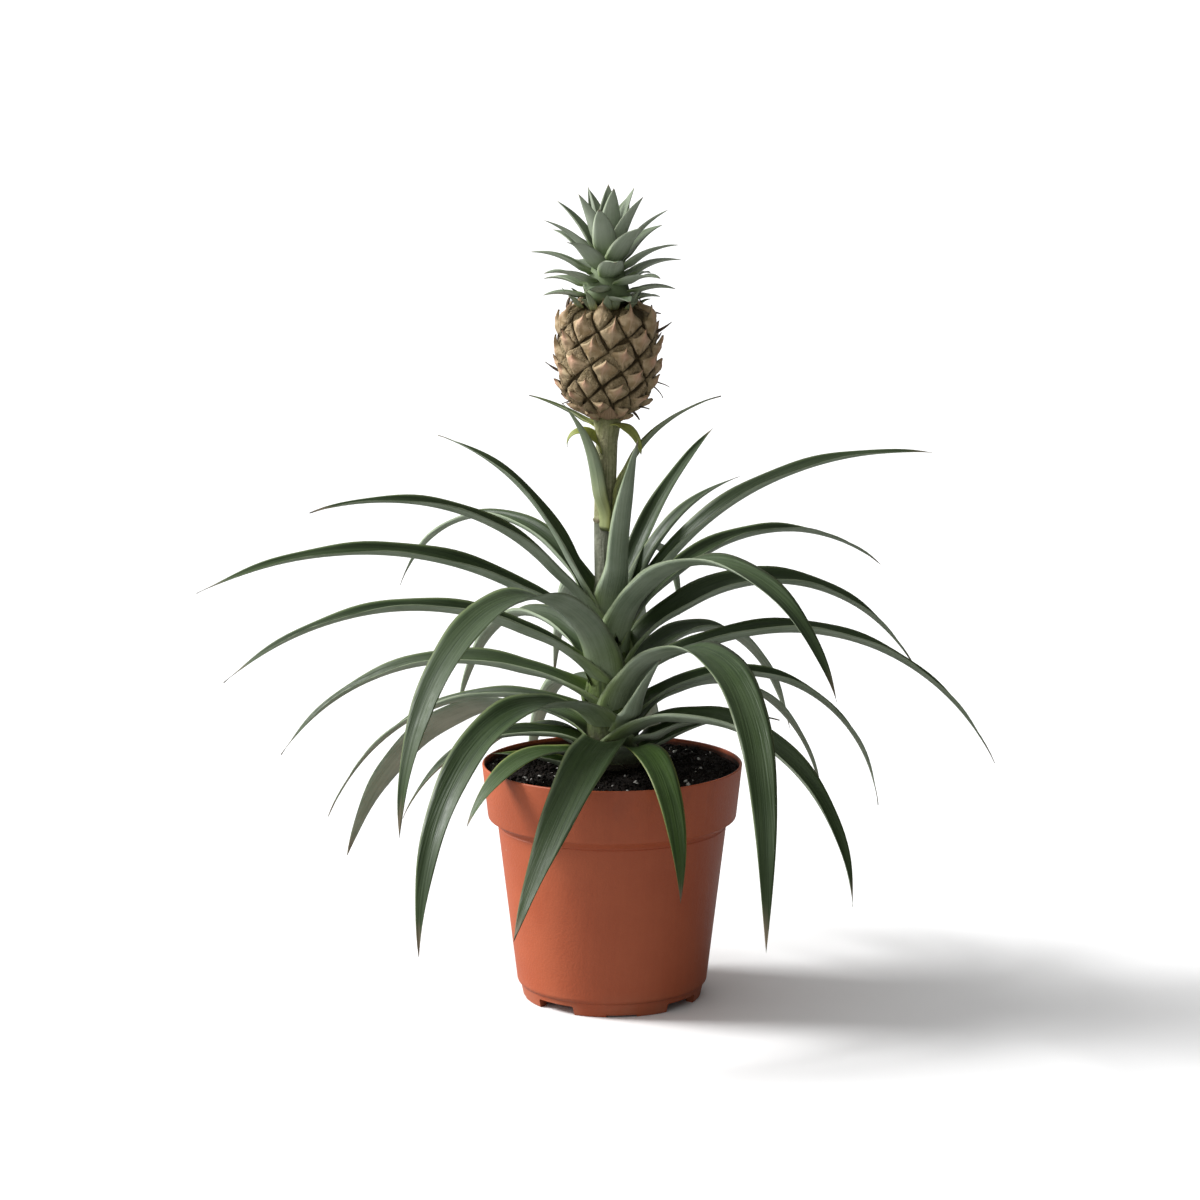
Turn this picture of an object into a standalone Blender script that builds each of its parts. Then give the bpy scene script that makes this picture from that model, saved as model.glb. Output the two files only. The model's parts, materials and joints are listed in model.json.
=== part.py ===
"""Potted pineapple plant: a fruiting ornamental pineapple in a moulded nursery pot.

Units are metres, +Z is up and the front of the plant faces -Y.
The origin is the centre of the circle that the pot's feet stand on.
"""
import math

import bmesh
import bpy
from mathutils import Matrix, Vector

MM = 0.001
GAP = 0.3 * MM                 # clearance between pieces that touch

# Pot: a 12 cm round nursery pot with a deep rim band.
POT_HEIGHT = 110 * MM
RIM_RADIUS = 60 * MM
BAND_FOOT_RADIUS = 57.2 * MM
BAND_HEIGHT = 23 * MM
BODY_TOP_RADIUS = 52.8 * MM
BODY_TOP_HEIGHT = 82 * MM
BODY_FOOT_RADIUS = 44.2 * MM
BODY_FOOT_HEIGHT = 9 * MM
FOOT_RADIUS = 41 * MM
FOOT_WIDTH = 3.5 * MM
WALL = 1.2 * MM
LIP_RADIUS = 0.6 * MM
POT_SIDES = 44
PLATE_UNDERSIDE = 4.4 * MM
PLATE = 1.6 * MM
NOTCH_ANGLES = (51, 141, 231, 321)
NOTCH_WIDTH = 20 * MM
NOTCH_HEIGHT = 4.2 * MM
DRAIN_RADIUS = 5 * MM
DRAIN_CIRCLE = 24 * MM
DRAIN_COUNT = 6
FOOT_HOLLOW_WIDTH = 14 * MM    # shallow hollow under the middle of each foot
FOOT_HOLLOW_HEIGHT = 1 * MM

# Soil: fills the pot to a few millimetres under the rim.
SOIL_EDGE_HEIGHT = 104.6 * MM
SOIL_MOUND = 1.6 * MM          # height of the middle over the edge
SOIL_WAVE = 0.5 * MM
SOIL_RINGS = 8
SOIL_SIDES = 40

# Stem, peduncle, fruit and crown, stacked on one slightly wandering axis.
STEM_FOOT_HEIGHT = 84 * MM
STEM_LOW_HEIGHT = 104 * MM
STEM_TOP_HEIGHT = 184 * MM
STEM_LOW_RADIUS = 13 * MM
STEM_TOP_RADIUS = 7 * MM
STEM_BEND_STEP = 17 * MM       # spacing of the sections that carry the stem's gentle bend
STEM_BEND_COUNT = 9
PEDUNCLE_RADIUS = 4.9 * MM
RING_HEIGHT = 223 * MM
FRUIT_FOOT_HEIGHT = 271 * MM
FRUIT_HEIGHT = 50.5 * MM
FRUIT_RADIUS = 24.5 * MM
FRUIT_AXIS_X = -2.3 * MM
CROWN_FOOT_HEIGHT = FRUIT_FOOT_HEIGHT + FRUIT_HEIGHT + GAP
CROWN_CORE_HEIGHT = 31 * MM
CROWN_LEAF_COUNT = 34
CROWN_LEAF_THICKNESS = 1.1 * MM
CROWN_FOOT_RADIUS = 9.5 * MM   # where the lowest leaves leave the core
CROWN_TIP_RADIUS = 2 * MM      # and the highest
CROWN_CLASP_RADIUS = 14 * MM
CROWN_BLADE_ALONG = 4
CROWN_SIDES = 24

# Fruitlets sit on a lattice: each next one up turns by this angle and climbs by one step.
FRUITLET_TURN = -99.5
FRUITLET_START = -25           # heading of the lowest fruitlet
FRUITLET_COUNT = 58
FRUITLET_RELIEF = 1.6 * MM
FRUITLET_HALF_WIDTH = 6.5 * MM

# Leaves, lowest first. Angles are in degrees, lengths in millimetres.
# azimuth: heading on the stem, 0 = right, 90 = back;   height: of the leaf's foot
# rise, fall: slope of the midrib at foot and tip;      bend: how late the slope changes
# sway: change of heading towards the tip
LEAF_COLUMNS = ("azimuth", "height", "rise", "fall", "bend", "length", "width", "sway")
LEAVES = {
    "leaf_01": (192, 108, 26, -4, 1.0, 45, 9, 0),
    "leaf_02": (218, 112, 45, -65, 0.8, 84, 19, 0),
    "leaf_03": (50, 110, 34, -30, 1.0, 78, 11, 0),
    "leaf_04": (25, 112, 35, -20, 1.0, 78, 9, 0),
    "leaf_05": (130, 112, 30, -45, 0.9, 90, 13, 0),
    "leaf_06": (291, 113, 60, -95, 0.7, 118, 16, -4),
    "leaf_07": (95, 116, 25, -62, 0.9, 110, 14, 0),
    "leaf_08": (172, 118, 34, -70, 0.8, 107, 12, 0),
    "leaf_09": (264, 119, 50, -62, 0.5, 154, 24, -30),
    "leaf_10": (340, 120, 42, -15, 1.0, 56, 12, 0),
    "leaf_11": (42, 126, 45, -75, 0.8, 162, 12, 0),
    "leaf_12": (160, 130, 36, -68, 0.75, 163, 12, 0),
    "leaf_13": (326, 124, 47, -88, 0.8, 166, 19, 0),
    "leaf_14": (306, 129, 66, 40, 1.0, 44, 10, 0),
    "leaf_15": (146, 122, 48, -72, 0.55, 208, 18, 0),
    "leaf_16": (80, 121, 32, -80, 0.9, 160, 16, 0),
    "leaf_17": (108, 132, 30, -80, 0.9, 160, 16, 0),
    "leaf_18": (233, 130, 48, -92, 0.8, 198, 22, 12),
    "leaf_19": (18, 132, 46, -85, 0.9, 165, 14, 0),
    "leaf_20": (92, 140, 35, -80, 0.9, 175, 17, 0),
    "leaf_21": (170, 140, 38, -58, 0.9, 168, 16, 0),
    "leaf_22": (302, 140, 71, -88, 0.7, 248, 22, -31),
    "leaf_23": (56, 145, 40, -70, 0.9, 185, 16, 0),
    "leaf_24": (13, 147, 42, -66, 0.9, 212, 17, 0),
    "leaf_25": (190, 152, 54, -42, 0.8, 186, 17, 0),
    "leaf_26": (118, 150, 42, -70, 0.9, 185, 17, 0),
    "leaf_27": (237, 156, 80, -88, 0.75, 226, 24, 0),
    "leaf_28": (22, 158, 64, -62, 0.8, 181, 20, 0),
    "leaf_29": (84, 155.5, 40, -75, 0.9, 197, 17, 0),
    "leaf_30": (100, 164, 42, -70, 0.9, 180, 17, 0),
    "leaf_31": (312, 168, 86, -68, 0.75, 182, 22, 0),
    "leaf_32": (193, 170, 50, -27, 0.85, 195, 17, 0),
    "leaf_33": (68, 176, 69, -88, 1.0, 122, 12, 0),
    "leaf_34": (40, 170, 56, -36, 0.8, 184, 15, 0),
    "leaf_35": (200, 175, 74, -16, 0.8, 159, 16, 0),
    "leaf_36": (3, 174, 75, -7, 0.8, 174, 16, 0),
    "leaf_37": (22, 180, 76, 12, 1.1, 88, 14, 0),
    "leaf_38": (138, 180, 70, -65, 0.9, 160, 14, 0),
    "leaf_39": (165, 185, 71, 12, 1.3, 109, 14, 0),
    "leaf_40": (50, 188, 70, 22, 1.0, 103, 13, 0),
    "leaf_41": (296, 186, 88, 66, 1.0, 80, 14, 0),
}
BRACTS = {
    "bract_1": (215, 223, 87, 44, 1.4, 62, 12, -10),
    "bract_2": (0, 232, 86, 14, 0.75, 70, 7, 0),
    "bract_3": (178, 257, 80, -125, 1.5, 30, 8, 0),
    "bract_4": (328, 267, 5, -95, 0.7, 17, 6, 0),
    "bract_5": (138, 265.5, 26, 16, 1.0, 36, 4, 44),
}
BLADE_ALONG = 11               # faces along a leaf
BLADE_ACROSS = 2               # faces across it, so that it has a keel
BLADE_THICKNESS = 1.3 * MM
TIP_HALF_WIDTH = 0.5 * MM
TIP_THINNING = 0.55
GUTTER = 0.28                  # how far the margins rise, as a share of the half width
FOOT_LENGTH = 0.25             # share of the leaf over which the clasping foot opens out
CLASP_SHARE = 0.8              # widest half foot, as a share of the stem's radius
FOOT_SPREAD = 0.25             # how fast the blade may widen above its foot

COLORS = {
    "pot_plastic": (0.52, 0.145, 0.065, 0.42),
    "potting_soil": (0.020, 0.014, 0.011, 0.95),
    "leaf_green": (0.060, 0.125, 0.060, 0.45),
    "peduncle_green": (0.190, 0.200, 0.110, 0.60),
    "bract_green": (0.200, 0.270, 0.080, 0.55),
    "fruit_rind": (0.330, 0.200, 0.110, 0.70),
    "crown_green": (0.170, 0.245, 0.165, 0.50),
}


def clear_scene():
    for thing in list(bpy.data.objects):
        bpy.data.objects.remove(thing, do_unlink=True)


def new_collection(name):
    collection = bpy.data.collections.new(name)
    bpy.context.scene.collection.children.link(collection)
    return collection


def new_material(name):
    red, green, blue, roughness = COLORS[name]
    material = bpy.data.materials.new(name)
    material.use_nodes = True
    shader = material.node_tree.nodes["Principled BSDF"]
    shader.inputs["Base Color"].default_value = (red, green, blue, 1.0)
    shader.inputs["Roughness"].default_value = roughness
    shader.inputs["Metallic"].default_value = 0.0
    material.diffuse_color = (red, green, blue, 1.0)
    return material


def add_mesh(name, bm, collection, material=None):
    """Turn a bmesh into an object of the collection, smooth shaded."""
    mesh = bpy.data.meshes.new(name)
    bm.to_mesh(mesh)
    bm.free()
    mesh.shade_smooth()
    thing = bpy.data.objects.new(name, mesh)
    collection.objects.link(thing)
    if material is not None:
        mesh.materials.append(material)
    return thing


def add_profile(name, points, steps, collection, material):
    """A turned solid: the profile runs down the outside, from the axis back to the axis."""
    bm = bmesh.new()
    verts = [bm.verts.new((radius, 0.0, height)) for radius, height in points]
    for low, high in zip(verts, verts[1:]):
        bm.edges.new((low, high))
    thing = add_mesh(name, bm, collection, material)
    screw = thing.modifiers.new("turned", "SCREW")
    screw.axis = "Z"
    screw.steps = steps
    screw.render_steps = steps
    screw.use_merge_vertices = True
    screw.merge_threshold = 0.00001
    return thing


def cut(thing, cutter):
    """Subtract a cutter, which stays as a guide outside the model."""
    cutter.hide_render = True
    cutter.display_type = "WIRE"
    boolean = thing.modifiers.new(cutter.name, "BOOLEAN")
    boolean.operation = "DIFFERENCE"
    boolean.solver = "EXACT"
    boolean.object = cutter


def arc(centre, radius, start, end, count):
    """Points of a round corner in the profile plane, angles in degrees."""
    return [
        (
            centre[0] + radius * math.cos(math.radians(start + (end - start) * step / count)),
            centre[1] + radius * math.sin(math.radians(start + (end - start) * step / count)),
        )
        for step in range(count + 1)
    ]


# Pot ------------------------------------------------------------------------------------

def pot_inner_radius(height):
    """Radius of the pot's inner wall between its plate and the foot of its band."""
    share = (height - BODY_FOOT_HEIGHT) / (BODY_TOP_HEIGHT - BODY_FOOT_HEIGHT)
    return BODY_FOOT_RADIUS + share * (BODY_TOP_RADIUS - BODY_FOOT_RADIUS) - WALL


def build_pot(collection, cutters, material):
    band_foot_height = POT_HEIGHT - BAND_HEIGHT
    plate_top = PLATE_UNDERSIDE + PLATE
    corner = BODY_FOOT_RADIUS - FOOT_RADIUS
    inside = [
        (0.0, plate_top),
        (pot_inner_radius(plate_top) - 2 * MM, plate_top),
        (pot_inner_radius(BODY_FOOT_HEIGHT), BODY_FOOT_HEIGHT),
        (BODY_TOP_RADIUS - WALL, BODY_TOP_HEIGHT),
        (BAND_FOOT_RADIUS - WALL, band_foot_height + WALL),
    ]
    lip = arc((RIM_RADIUS - LIP_RADIUS, POT_HEIGHT - LIP_RADIUS), LIP_RADIUS, 180, 0, 6)
    outside = [
        (BAND_FOOT_RADIUS, band_foot_height),
        (BODY_TOP_RADIUS, BODY_TOP_HEIGHT),
    ]
    outside += arc((FOOT_RADIUS, BODY_FOOT_HEIGHT), corner, 0, -55, 4)
    underside = [
        (FOOT_RADIUS, 0.0),
        (FOOT_RADIUS - FOOT_WIDTH, 0.0),
        (FOOT_RADIUS - FOOT_WIDTH - 1 * MM, PLATE_UNDERSIDE),
        (0.0, PLATE_UNDERSIDE),
    ]
    profile = inside + lip + outside + underside
    pot = add_profile("pot", profile, POT_SIDES, collection, material)

    bm = bmesh.new()
    for angle in NOTCH_ANGLES:
        add_notch(bm, angle, NOTCH_WIDTH, NOTCH_HEIGHT)
        add_notch(bm, angle + 45, FOOT_HOLLOW_WIDTH, FOOT_HOLLOW_HEIGHT)
    cut(pot, add_mesh("foot_notches", bm, cutters))

    bm = bmesh.new()
    for index in range(DRAIN_COUNT):
        angle = math.tau * index / DRAIN_COUNT
        centre = (DRAIN_CIRCLE * math.cos(angle), DRAIN_CIRCLE * math.sin(angle), plate_top)
        add_cylinder(bm, DRAIN_RADIUS, 4 * PLATE, centre, 20)
    cut(pot, add_mesh("drain_holes", bm, cutters))
    return pot


def add_notch(bm, angle, width, height):
    """A block across the foot ring, standing on the ground plane."""
    block = bmesh.ops.create_cube(bm, size=1.0)["verts"]
    bmesh.ops.scale(bm, vec=Vector((3 * FOOT_WIDTH, width, 2 * height)), verts=block)
    bmesh.ops.translate(bm, vec=Vector((FOOT_RADIUS - 0.2 * FOOT_WIDTH, 0.0, 0.0)), verts=block)
    turn = Matrix.Rotation(math.radians(angle), 3, "Z")
    bmesh.ops.rotate(bm, cent=Vector(), matrix=turn, verts=block)


def add_cylinder(bm, radius, height, centre, sides):
    made = bmesh.ops.create_cone(
        bm, cap_ends=True, segments=sides, radius1=radius, radius2=radius, depth=height
    )
    bmesh.ops.translate(bm, vec=Vector(centre), verts=made["verts"])


# Soil -----------------------------------------------------------------------------------

def build_soil(collection, cutters, material):
    foot = PLATE_UNDERSIDE + PLATE + GAP
    band_foot_height = POT_HEIGHT - BAND_HEIGHT
    edge = BAND_FOOT_RADIUS - WALL - GAP
    rise = (SOIL_EDGE_HEIGHT - band_foot_height) / BAND_HEIGHT
    top_edge = edge + rise * (RIM_RADIUS - BAND_FOOT_RADIUS) - 2 * GAP
    points = [(0.0, SOIL_EDGE_HEIGHT + SOIL_MOUND)]
    for step in range(1, SOIL_RINGS):
        share = step / SOIL_RINGS
        wave = SOIL_WAVE * math.sin(9 * share)
        points.append((share * top_edge, SOIL_EDGE_HEIGHT + SOIL_MOUND * (1 - share**2) + wave))
    points += [
        (top_edge, SOIL_EDGE_HEIGHT),
        (edge, band_foot_height + WALL),
        (BODY_TOP_RADIUS - WALL - 2 * GAP, BODY_TOP_HEIGHT),
        (pot_inner_radius(BODY_FOOT_HEIGHT) - 2 * GAP, BODY_FOOT_HEIGHT + GAP),
        (pot_inner_radius(foot) - 3 * MM, foot),
        (0.0, foot),
    ]
    soil = add_profile("soil", points, SOIL_SIDES, collection, material)

    bm = bmesh.new()
    pocket_foot = STEM_FOOT_HEIGHT - GAP
    height = POT_HEIGHT - pocket_foot
    centre = (0.0, 0.0, pocket_foot + height / 2)
    add_cylinder(bm, STEM_LOW_RADIUS + 2 * GAP, height, centre, 32)
    cut(soil, add_mesh("stem_pocket", bm, cutters))
    return soil


# Stem and peduncle ----------------------------------------------------------------------

def stem_sections():
    """Height and radius up the leafy stem, the bare peduncle and the flare under the fruit."""
    return (
        (STEM_FOOT_HEIGHT, STEM_LOW_RADIUS),
        (STEM_LOW_HEIGHT, STEM_LOW_RADIUS),
        (STEM_TOP_HEIGHT, STEM_TOP_RADIUS),
        (STEM_TOP_HEIGHT + 10 * MM, PEDUNCLE_RADIUS),
        (RING_HEIGHT - 1 * MM, PEDUNCLE_RADIUS),
        (RING_HEIGHT, PEDUNCLE_RADIUS + 0.4 * MM),
        (RING_HEIGHT + 1 * MM, PEDUNCLE_RADIUS),
        (FRUIT_FOOT_HEIGHT - 12 * MM, PEDUNCLE_RADIUS),
        (FRUIT_FOOT_HEIGHT - GAP, PEDUNCLE_RADIUS + 3 * MM),
    )


def stem_radius(height):
    """Radius of the stem at a height, straight between its sections."""
    sections = stem_sections()
    for (low, low_radius), (high, high_radius) in zip(sections, sections[1:]):
        if height <= high:
            share = max(0.0, height - low) / (high - low)
            return low_radius + share * (high_radius - low_radius)
    return sections[-1][1]


def stem_centre_x(height):
    """The stem leans to the left of the pot's axis and comes part of the way back."""
    if height <= STEM_LOW_HEIGHT:
        return 0.0
    share = min(1.0, (height - STEM_LOW_HEIGHT) / (RING_HEIGHT - STEM_LOW_HEIGHT))
    lean = -3.4 * MM * (3 * share**2 - 2 * share**3)
    if height > RING_HEIGHT:
        back = (height - RING_HEIGHT) / (FRUIT_FOOT_HEIGHT - RING_HEIGHT)
        lean += (FRUIT_AXIS_X + 3.4 * MM) * min(1.0, back)
    return lean


def build_stem(collection, material):
    heights = {height for height, radius in stem_sections()}
    heights |= {STEM_LOW_HEIGHT + step * STEM_BEND_STEP for step in range(1, STEM_BEND_COUNT)}
    curve = bpy.data.curves.new("stem", "CURVE")
    curve.dimensions = "3D"
    curve.bevel_depth = 1.0 * MM
    curve.bevel_resolution = 4
    curve.use_fill_caps = True
    spline = curve.splines.new("POLY")
    spline.points.add(len(heights) - 1)
    for point, height in zip(spline.points, sorted(heights)):
        point.co = (stem_centre_x(height), 0.0, height, 1.0)
        point.radius = stem_radius(height) / MM
    curve.materials.append(material)
    stem = bpy.data.objects.new("stem", curve)
    collection.objects.link(stem)
    return stem


# Leaves ---------------------------------------------------------------------------------

def blade_profile(along):
    """Share of the full width: a clasping foot, the widest part low down, a long tip."""
    shoulder = 0.72 + 0.28 * math.sin(0.5 * math.pi * min(1.0, along / 0.3))
    return shoulder * (1 - along**2.3)


def midrib(leaf, start, steps):
    """Frames along the midrib: position, side and upper-face direction at each step."""
    heading = math.radians(leaf["azimuth"])
    position = Vector(start)
    frames = []
    fine = 8
    stride = leaf["length"] * MM / (steps * fine)
    for step in range(steps * fine + 1):
        along = step / (steps * fine)
        slope = math.radians(leaf["rise"] + (leaf["fall"] - leaf["rise"]) * along ** leaf["bend"])
        turn = heading + math.radians(leaf["sway"]) * along
        level = math.cos(slope)
        forward = Vector((level * math.cos(turn), level * math.sin(turn), math.sin(slope)))
        side = Vector((-math.sin(turn), math.cos(turn), 0.0))
        if step % fine == 0:
            frames.append((position.copy(), side, forward.cross(side)))
        position += forward * stride
    return frames


def build_blade(bm, leaf, start, clasp_radius, steps):
    """A strap leaf: a flat grid bent along its midrib, keeled, its foot curved round the stem.

    The deform weight of each vertex is its share of the blade's full thickness.
    """
    frames = midrib(leaf, start, steps)
    weights = bm.verts.layers.deform.verify()
    grid = bmesh.ops.create_grid(bm, x_segments=BLADE_ACROSS, y_segments=steps, size=0.5)
    half_width = 0.5 * leaf["width"] * MM
    foot_half = min(half_width * blade_profile(0.0), CLASP_SHARE * clasp_radius)
    clasp = foot_half / (2 * clasp_radius)
    for vert in grid["verts"]:
        across = 2 * vert.co.x
        along = vert.co.y + 0.5
        position, side, up = frames[round(along * steps)]
        half = min(half_width * blade_profile(along), foot_half + FOOT_SPREAD * along * leaf["length"] * MM)
        half = max(half, TIP_HALF_WIDTH)
        gutter = GUTTER + (clasp - GUTTER) * max(0.0, 1 - along / FOOT_LENGTH)
        vert.co = position + side * (across * half) + up * (across**2 * half * gutter)
        vert[weights][0] = 1 - TIP_THINNING * along


def thicken(blade, thickness):
    """Give an open blade its two faces, thinner towards the tip."""
    blade.vertex_groups.new(name="thickness")
    solidify = blade.modifiers.new("thickness", "SOLIDIFY")
    solidify.thickness = thickness
    solidify.offset = 0.0
    solidify.vertex_group = "thickness"
    solidify.thickness_vertex_group = 0.0


def build_leaf(name, row, collection, material):
    leaf = dict(zip(LEAF_COLUMNS, row))
    height = leaf["height"] * MM
    radius = stem_radius(height)
    azimuth = math.radians(leaf["azimuth"])
    stand_off = 1.1 * radius + GAP + 0.5 * BLADE_THICKNESS
    start = (
        stem_centre_x(height) + stand_off * math.cos(azimuth),
        stand_off * math.sin(azimuth),
        height,
    )
    bm = bmesh.new()
    build_blade(bm, leaf, start, radius, BLADE_ALONG)
    blade = add_mesh(name, bm, collection, material)
    thicken(blade, BLADE_THICKNESS)
    return blade


# Fruit ----------------------------------------------------------------------------------

def fruit_radius(share):
    """Radius of the barrel-shaped fruit at a share of its height."""
    level = abs(2 * share - 1)
    return FRUIT_RADIUS * (1 - 0.92 * level**3.2) ** 0.5


def fruitlet_bump(angle, share):
    """Relief of the fruitlets: 1 on the crest of the nearest one, 0 in the crease."""
    distances = []
    for index in range(FRUITLET_COUNT):
        climb = (share - (index + 0.5) / FRUITLET_COUNT) * FRUIT_HEIGHT
        turn = (math.degrees(angle) - FRUITLET_START - index * FRUITLET_TURN + 180) % 360 - 180
        distances.append(math.hypot(math.radians(turn) * FRUIT_RADIUS, climb))
    return max(0.0, 1 - (min(distances) / FRUITLET_HALF_WIDTH) ** 2)


def build_fruit(collection, material):
    bm = bmesh.new()
    bmesh.ops.create_uvsphere(bm, u_segments=40, v_segments=20, radius=1.0)
    for vert in bm.verts:
        angle = math.atan2(vert.co.y, vert.co.x)
        share = 0.5 + 0.5 * math.asin(max(-1.0, min(1.0, vert.co.z))) / (0.5 * math.pi)
        height = FRUIT_FOOT_HEIGHT + share * FRUIT_HEIGHT
        if share < 0.001 or share > 0.999:
            vert.co = (FRUIT_AXIS_X, 0.0, height)
            continue
        radius = fruit_radius(share) - FRUITLET_RELIEF * (1 - fruitlet_bump(angle, share))
        vert.co = (FRUIT_AXIS_X + radius * math.cos(angle), radius * math.sin(angle), height)
    return add_mesh("fruit", bm, collection, material)


# Crown ----------------------------------------------------------------------------------

def crown_leaf(index):
    """One leaf of the crown: the lowest are short and recurved, the highest stand up."""
    share = index / (CROWN_LEAF_COUNT - 1)
    return {
        "azimuth": index * FRUITLET_TURN,
        "rise": 25 + 58 * share,
        "fall": -25 + 100 * share**2,
        "bend": 1.0,
        "length": 17 + 16 * math.sin(0.8 * math.pi * share),
        "width": 11 - 2.5 * share,
        "sway": 0,
    }


def build_crown(collection, cutters, material):
    core = [
        (0.0, CROWN_FOOT_HEIGHT + CROWN_CORE_HEIGHT),
        (3.0 * MM, CROWN_FOOT_HEIGHT + CROWN_CORE_HEIGHT - 1 * MM),
        (11.0 * MM, CROWN_FOOT_HEIGHT + 6 * MM),
        (12.0 * MM, CROWN_FOOT_HEIGHT + 2 * MM),
        (6.5 * MM, CROWN_FOOT_HEIGHT),
        (0.0, CROWN_FOOT_HEIGHT),
    ]
    crown = add_profile("crown", core, CROWN_SIDES, collection, material)
    crown.location.x = FRUIT_AXIS_X

    bm = bmesh.new()
    for index in range(CROWN_LEAF_COUNT):
        leaf = crown_leaf(index)
        share = index / (CROWN_LEAF_COUNT - 1)
        radius = CROWN_FOOT_RADIUS - (CROWN_FOOT_RADIUS - CROWN_TIP_RADIUS) * share
        azimuth = math.radians(leaf["azimuth"])
        height = CROWN_FOOT_HEIGHT + 3 * MM + share * (CROWN_CORE_HEIGHT - 5 * MM)
        start = (FRUIT_AXIS_X + radius * math.cos(azimuth), radius * math.sin(azimuth), height)
        build_blade(bm, leaf, start, CROWN_CLASP_RADIUS, CROWN_BLADE_ALONG)
    blades = add_mesh("crown_blades", bm, cutters)
    thicken(blades, CROWN_LEAF_THICKNESS)
    blades.hide_render = True
    blades.display_type = "WIRE"
    union = crown.modifiers.new("blades", "BOOLEAN")
    union.operation = "UNION"
    union.solver = "EXACT"
    union.use_self = True
    union.object = blades
    return crown


def build_plant():
    clear_scene()
    model = new_collection("potted_pineapple_plant")
    cutters = new_collection("cutters")
    materials = {name: new_material(name) for name in COLORS}
    build_pot(model, cutters, materials["pot_plastic"])
    build_soil(model, cutters, materials["potting_soil"])
    build_stem(model, materials["peduncle_green"])
    for name, row in LEAVES.items():
        build_leaf(name, row, model, materials["leaf_green"])
    for name, row in BRACTS.items():
        build_leaf(name, row, model, materials["bract_green"])
    build_fruit(model, materials["fruit_rind"])
    build_crown(model, cutters, materials["crown_green"])


build_plant()
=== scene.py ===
# %% [markdown]
# # A potted pineapple plant
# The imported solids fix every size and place. This file puts the real surfaces round them: a moulded
# pot, crumbly soil, arching strap leaves, a small fruit of spiralling fruitlets and its crown.
# All lengths are in metres, +Z is up and the front of the plant faces -Y.

# %% Load the frame
import json
import math

import bmesh
import bpy
from mathutils import Matrix, Vector, noise

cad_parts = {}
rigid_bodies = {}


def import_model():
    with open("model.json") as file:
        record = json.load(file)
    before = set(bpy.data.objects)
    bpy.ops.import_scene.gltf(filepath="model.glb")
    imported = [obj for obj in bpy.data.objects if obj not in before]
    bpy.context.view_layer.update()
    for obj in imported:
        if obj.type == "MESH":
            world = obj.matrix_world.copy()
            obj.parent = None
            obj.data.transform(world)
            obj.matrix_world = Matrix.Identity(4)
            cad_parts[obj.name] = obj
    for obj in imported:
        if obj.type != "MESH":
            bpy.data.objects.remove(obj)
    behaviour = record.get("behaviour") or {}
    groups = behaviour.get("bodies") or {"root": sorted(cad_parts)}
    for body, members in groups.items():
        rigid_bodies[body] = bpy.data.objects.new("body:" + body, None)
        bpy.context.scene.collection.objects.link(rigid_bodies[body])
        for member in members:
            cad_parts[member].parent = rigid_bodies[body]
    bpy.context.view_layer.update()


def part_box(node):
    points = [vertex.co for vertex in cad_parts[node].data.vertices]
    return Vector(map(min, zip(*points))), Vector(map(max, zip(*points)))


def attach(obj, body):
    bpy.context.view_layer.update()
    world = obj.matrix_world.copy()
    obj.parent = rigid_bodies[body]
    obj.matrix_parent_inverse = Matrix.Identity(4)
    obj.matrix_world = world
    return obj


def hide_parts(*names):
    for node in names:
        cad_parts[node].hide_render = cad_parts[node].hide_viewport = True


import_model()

MM = 0.001
BODY = "root"
scene = bpy.context.scene

# %% [markdown]
# ## Camera
# A long lens from a little above the rim looks slightly down, so the leaves on both sides keep
# their true spread and the top of the soil still shows.

# %% Camera
CAMERA_PLACE = (-0.0056, -1.6, 0.47)
CAMERA_PITCH = 10.07            # degrees below the horizon
CAMERA_LENS = 106.5

camera_data = bpy.data.cameras.new("camera")
camera_data.lens = CAMERA_LENS
camera_data.sensor_width = 36.0
camera_data.clip_end = 200.0
camera = bpy.data.objects.new("camera", camera_data)
camera.location = CAMERA_PLACE
camera.rotation_euler = (math.radians(90 - CAMERA_PITCH), 0.0, 0.0)
scene.collection.objects.link(camera)
scene.camera = camera
print("camera at", CAMERA_PLACE, "lens", CAMERA_LENS)

# %% [markdown]
# ## Writing node trees as sums
# Both the leaves' shapes and every finish are node trees. A node per sign is hard to read, so a
# small class lets a number in a tree be added, multiplied and compared like any other number.

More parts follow.
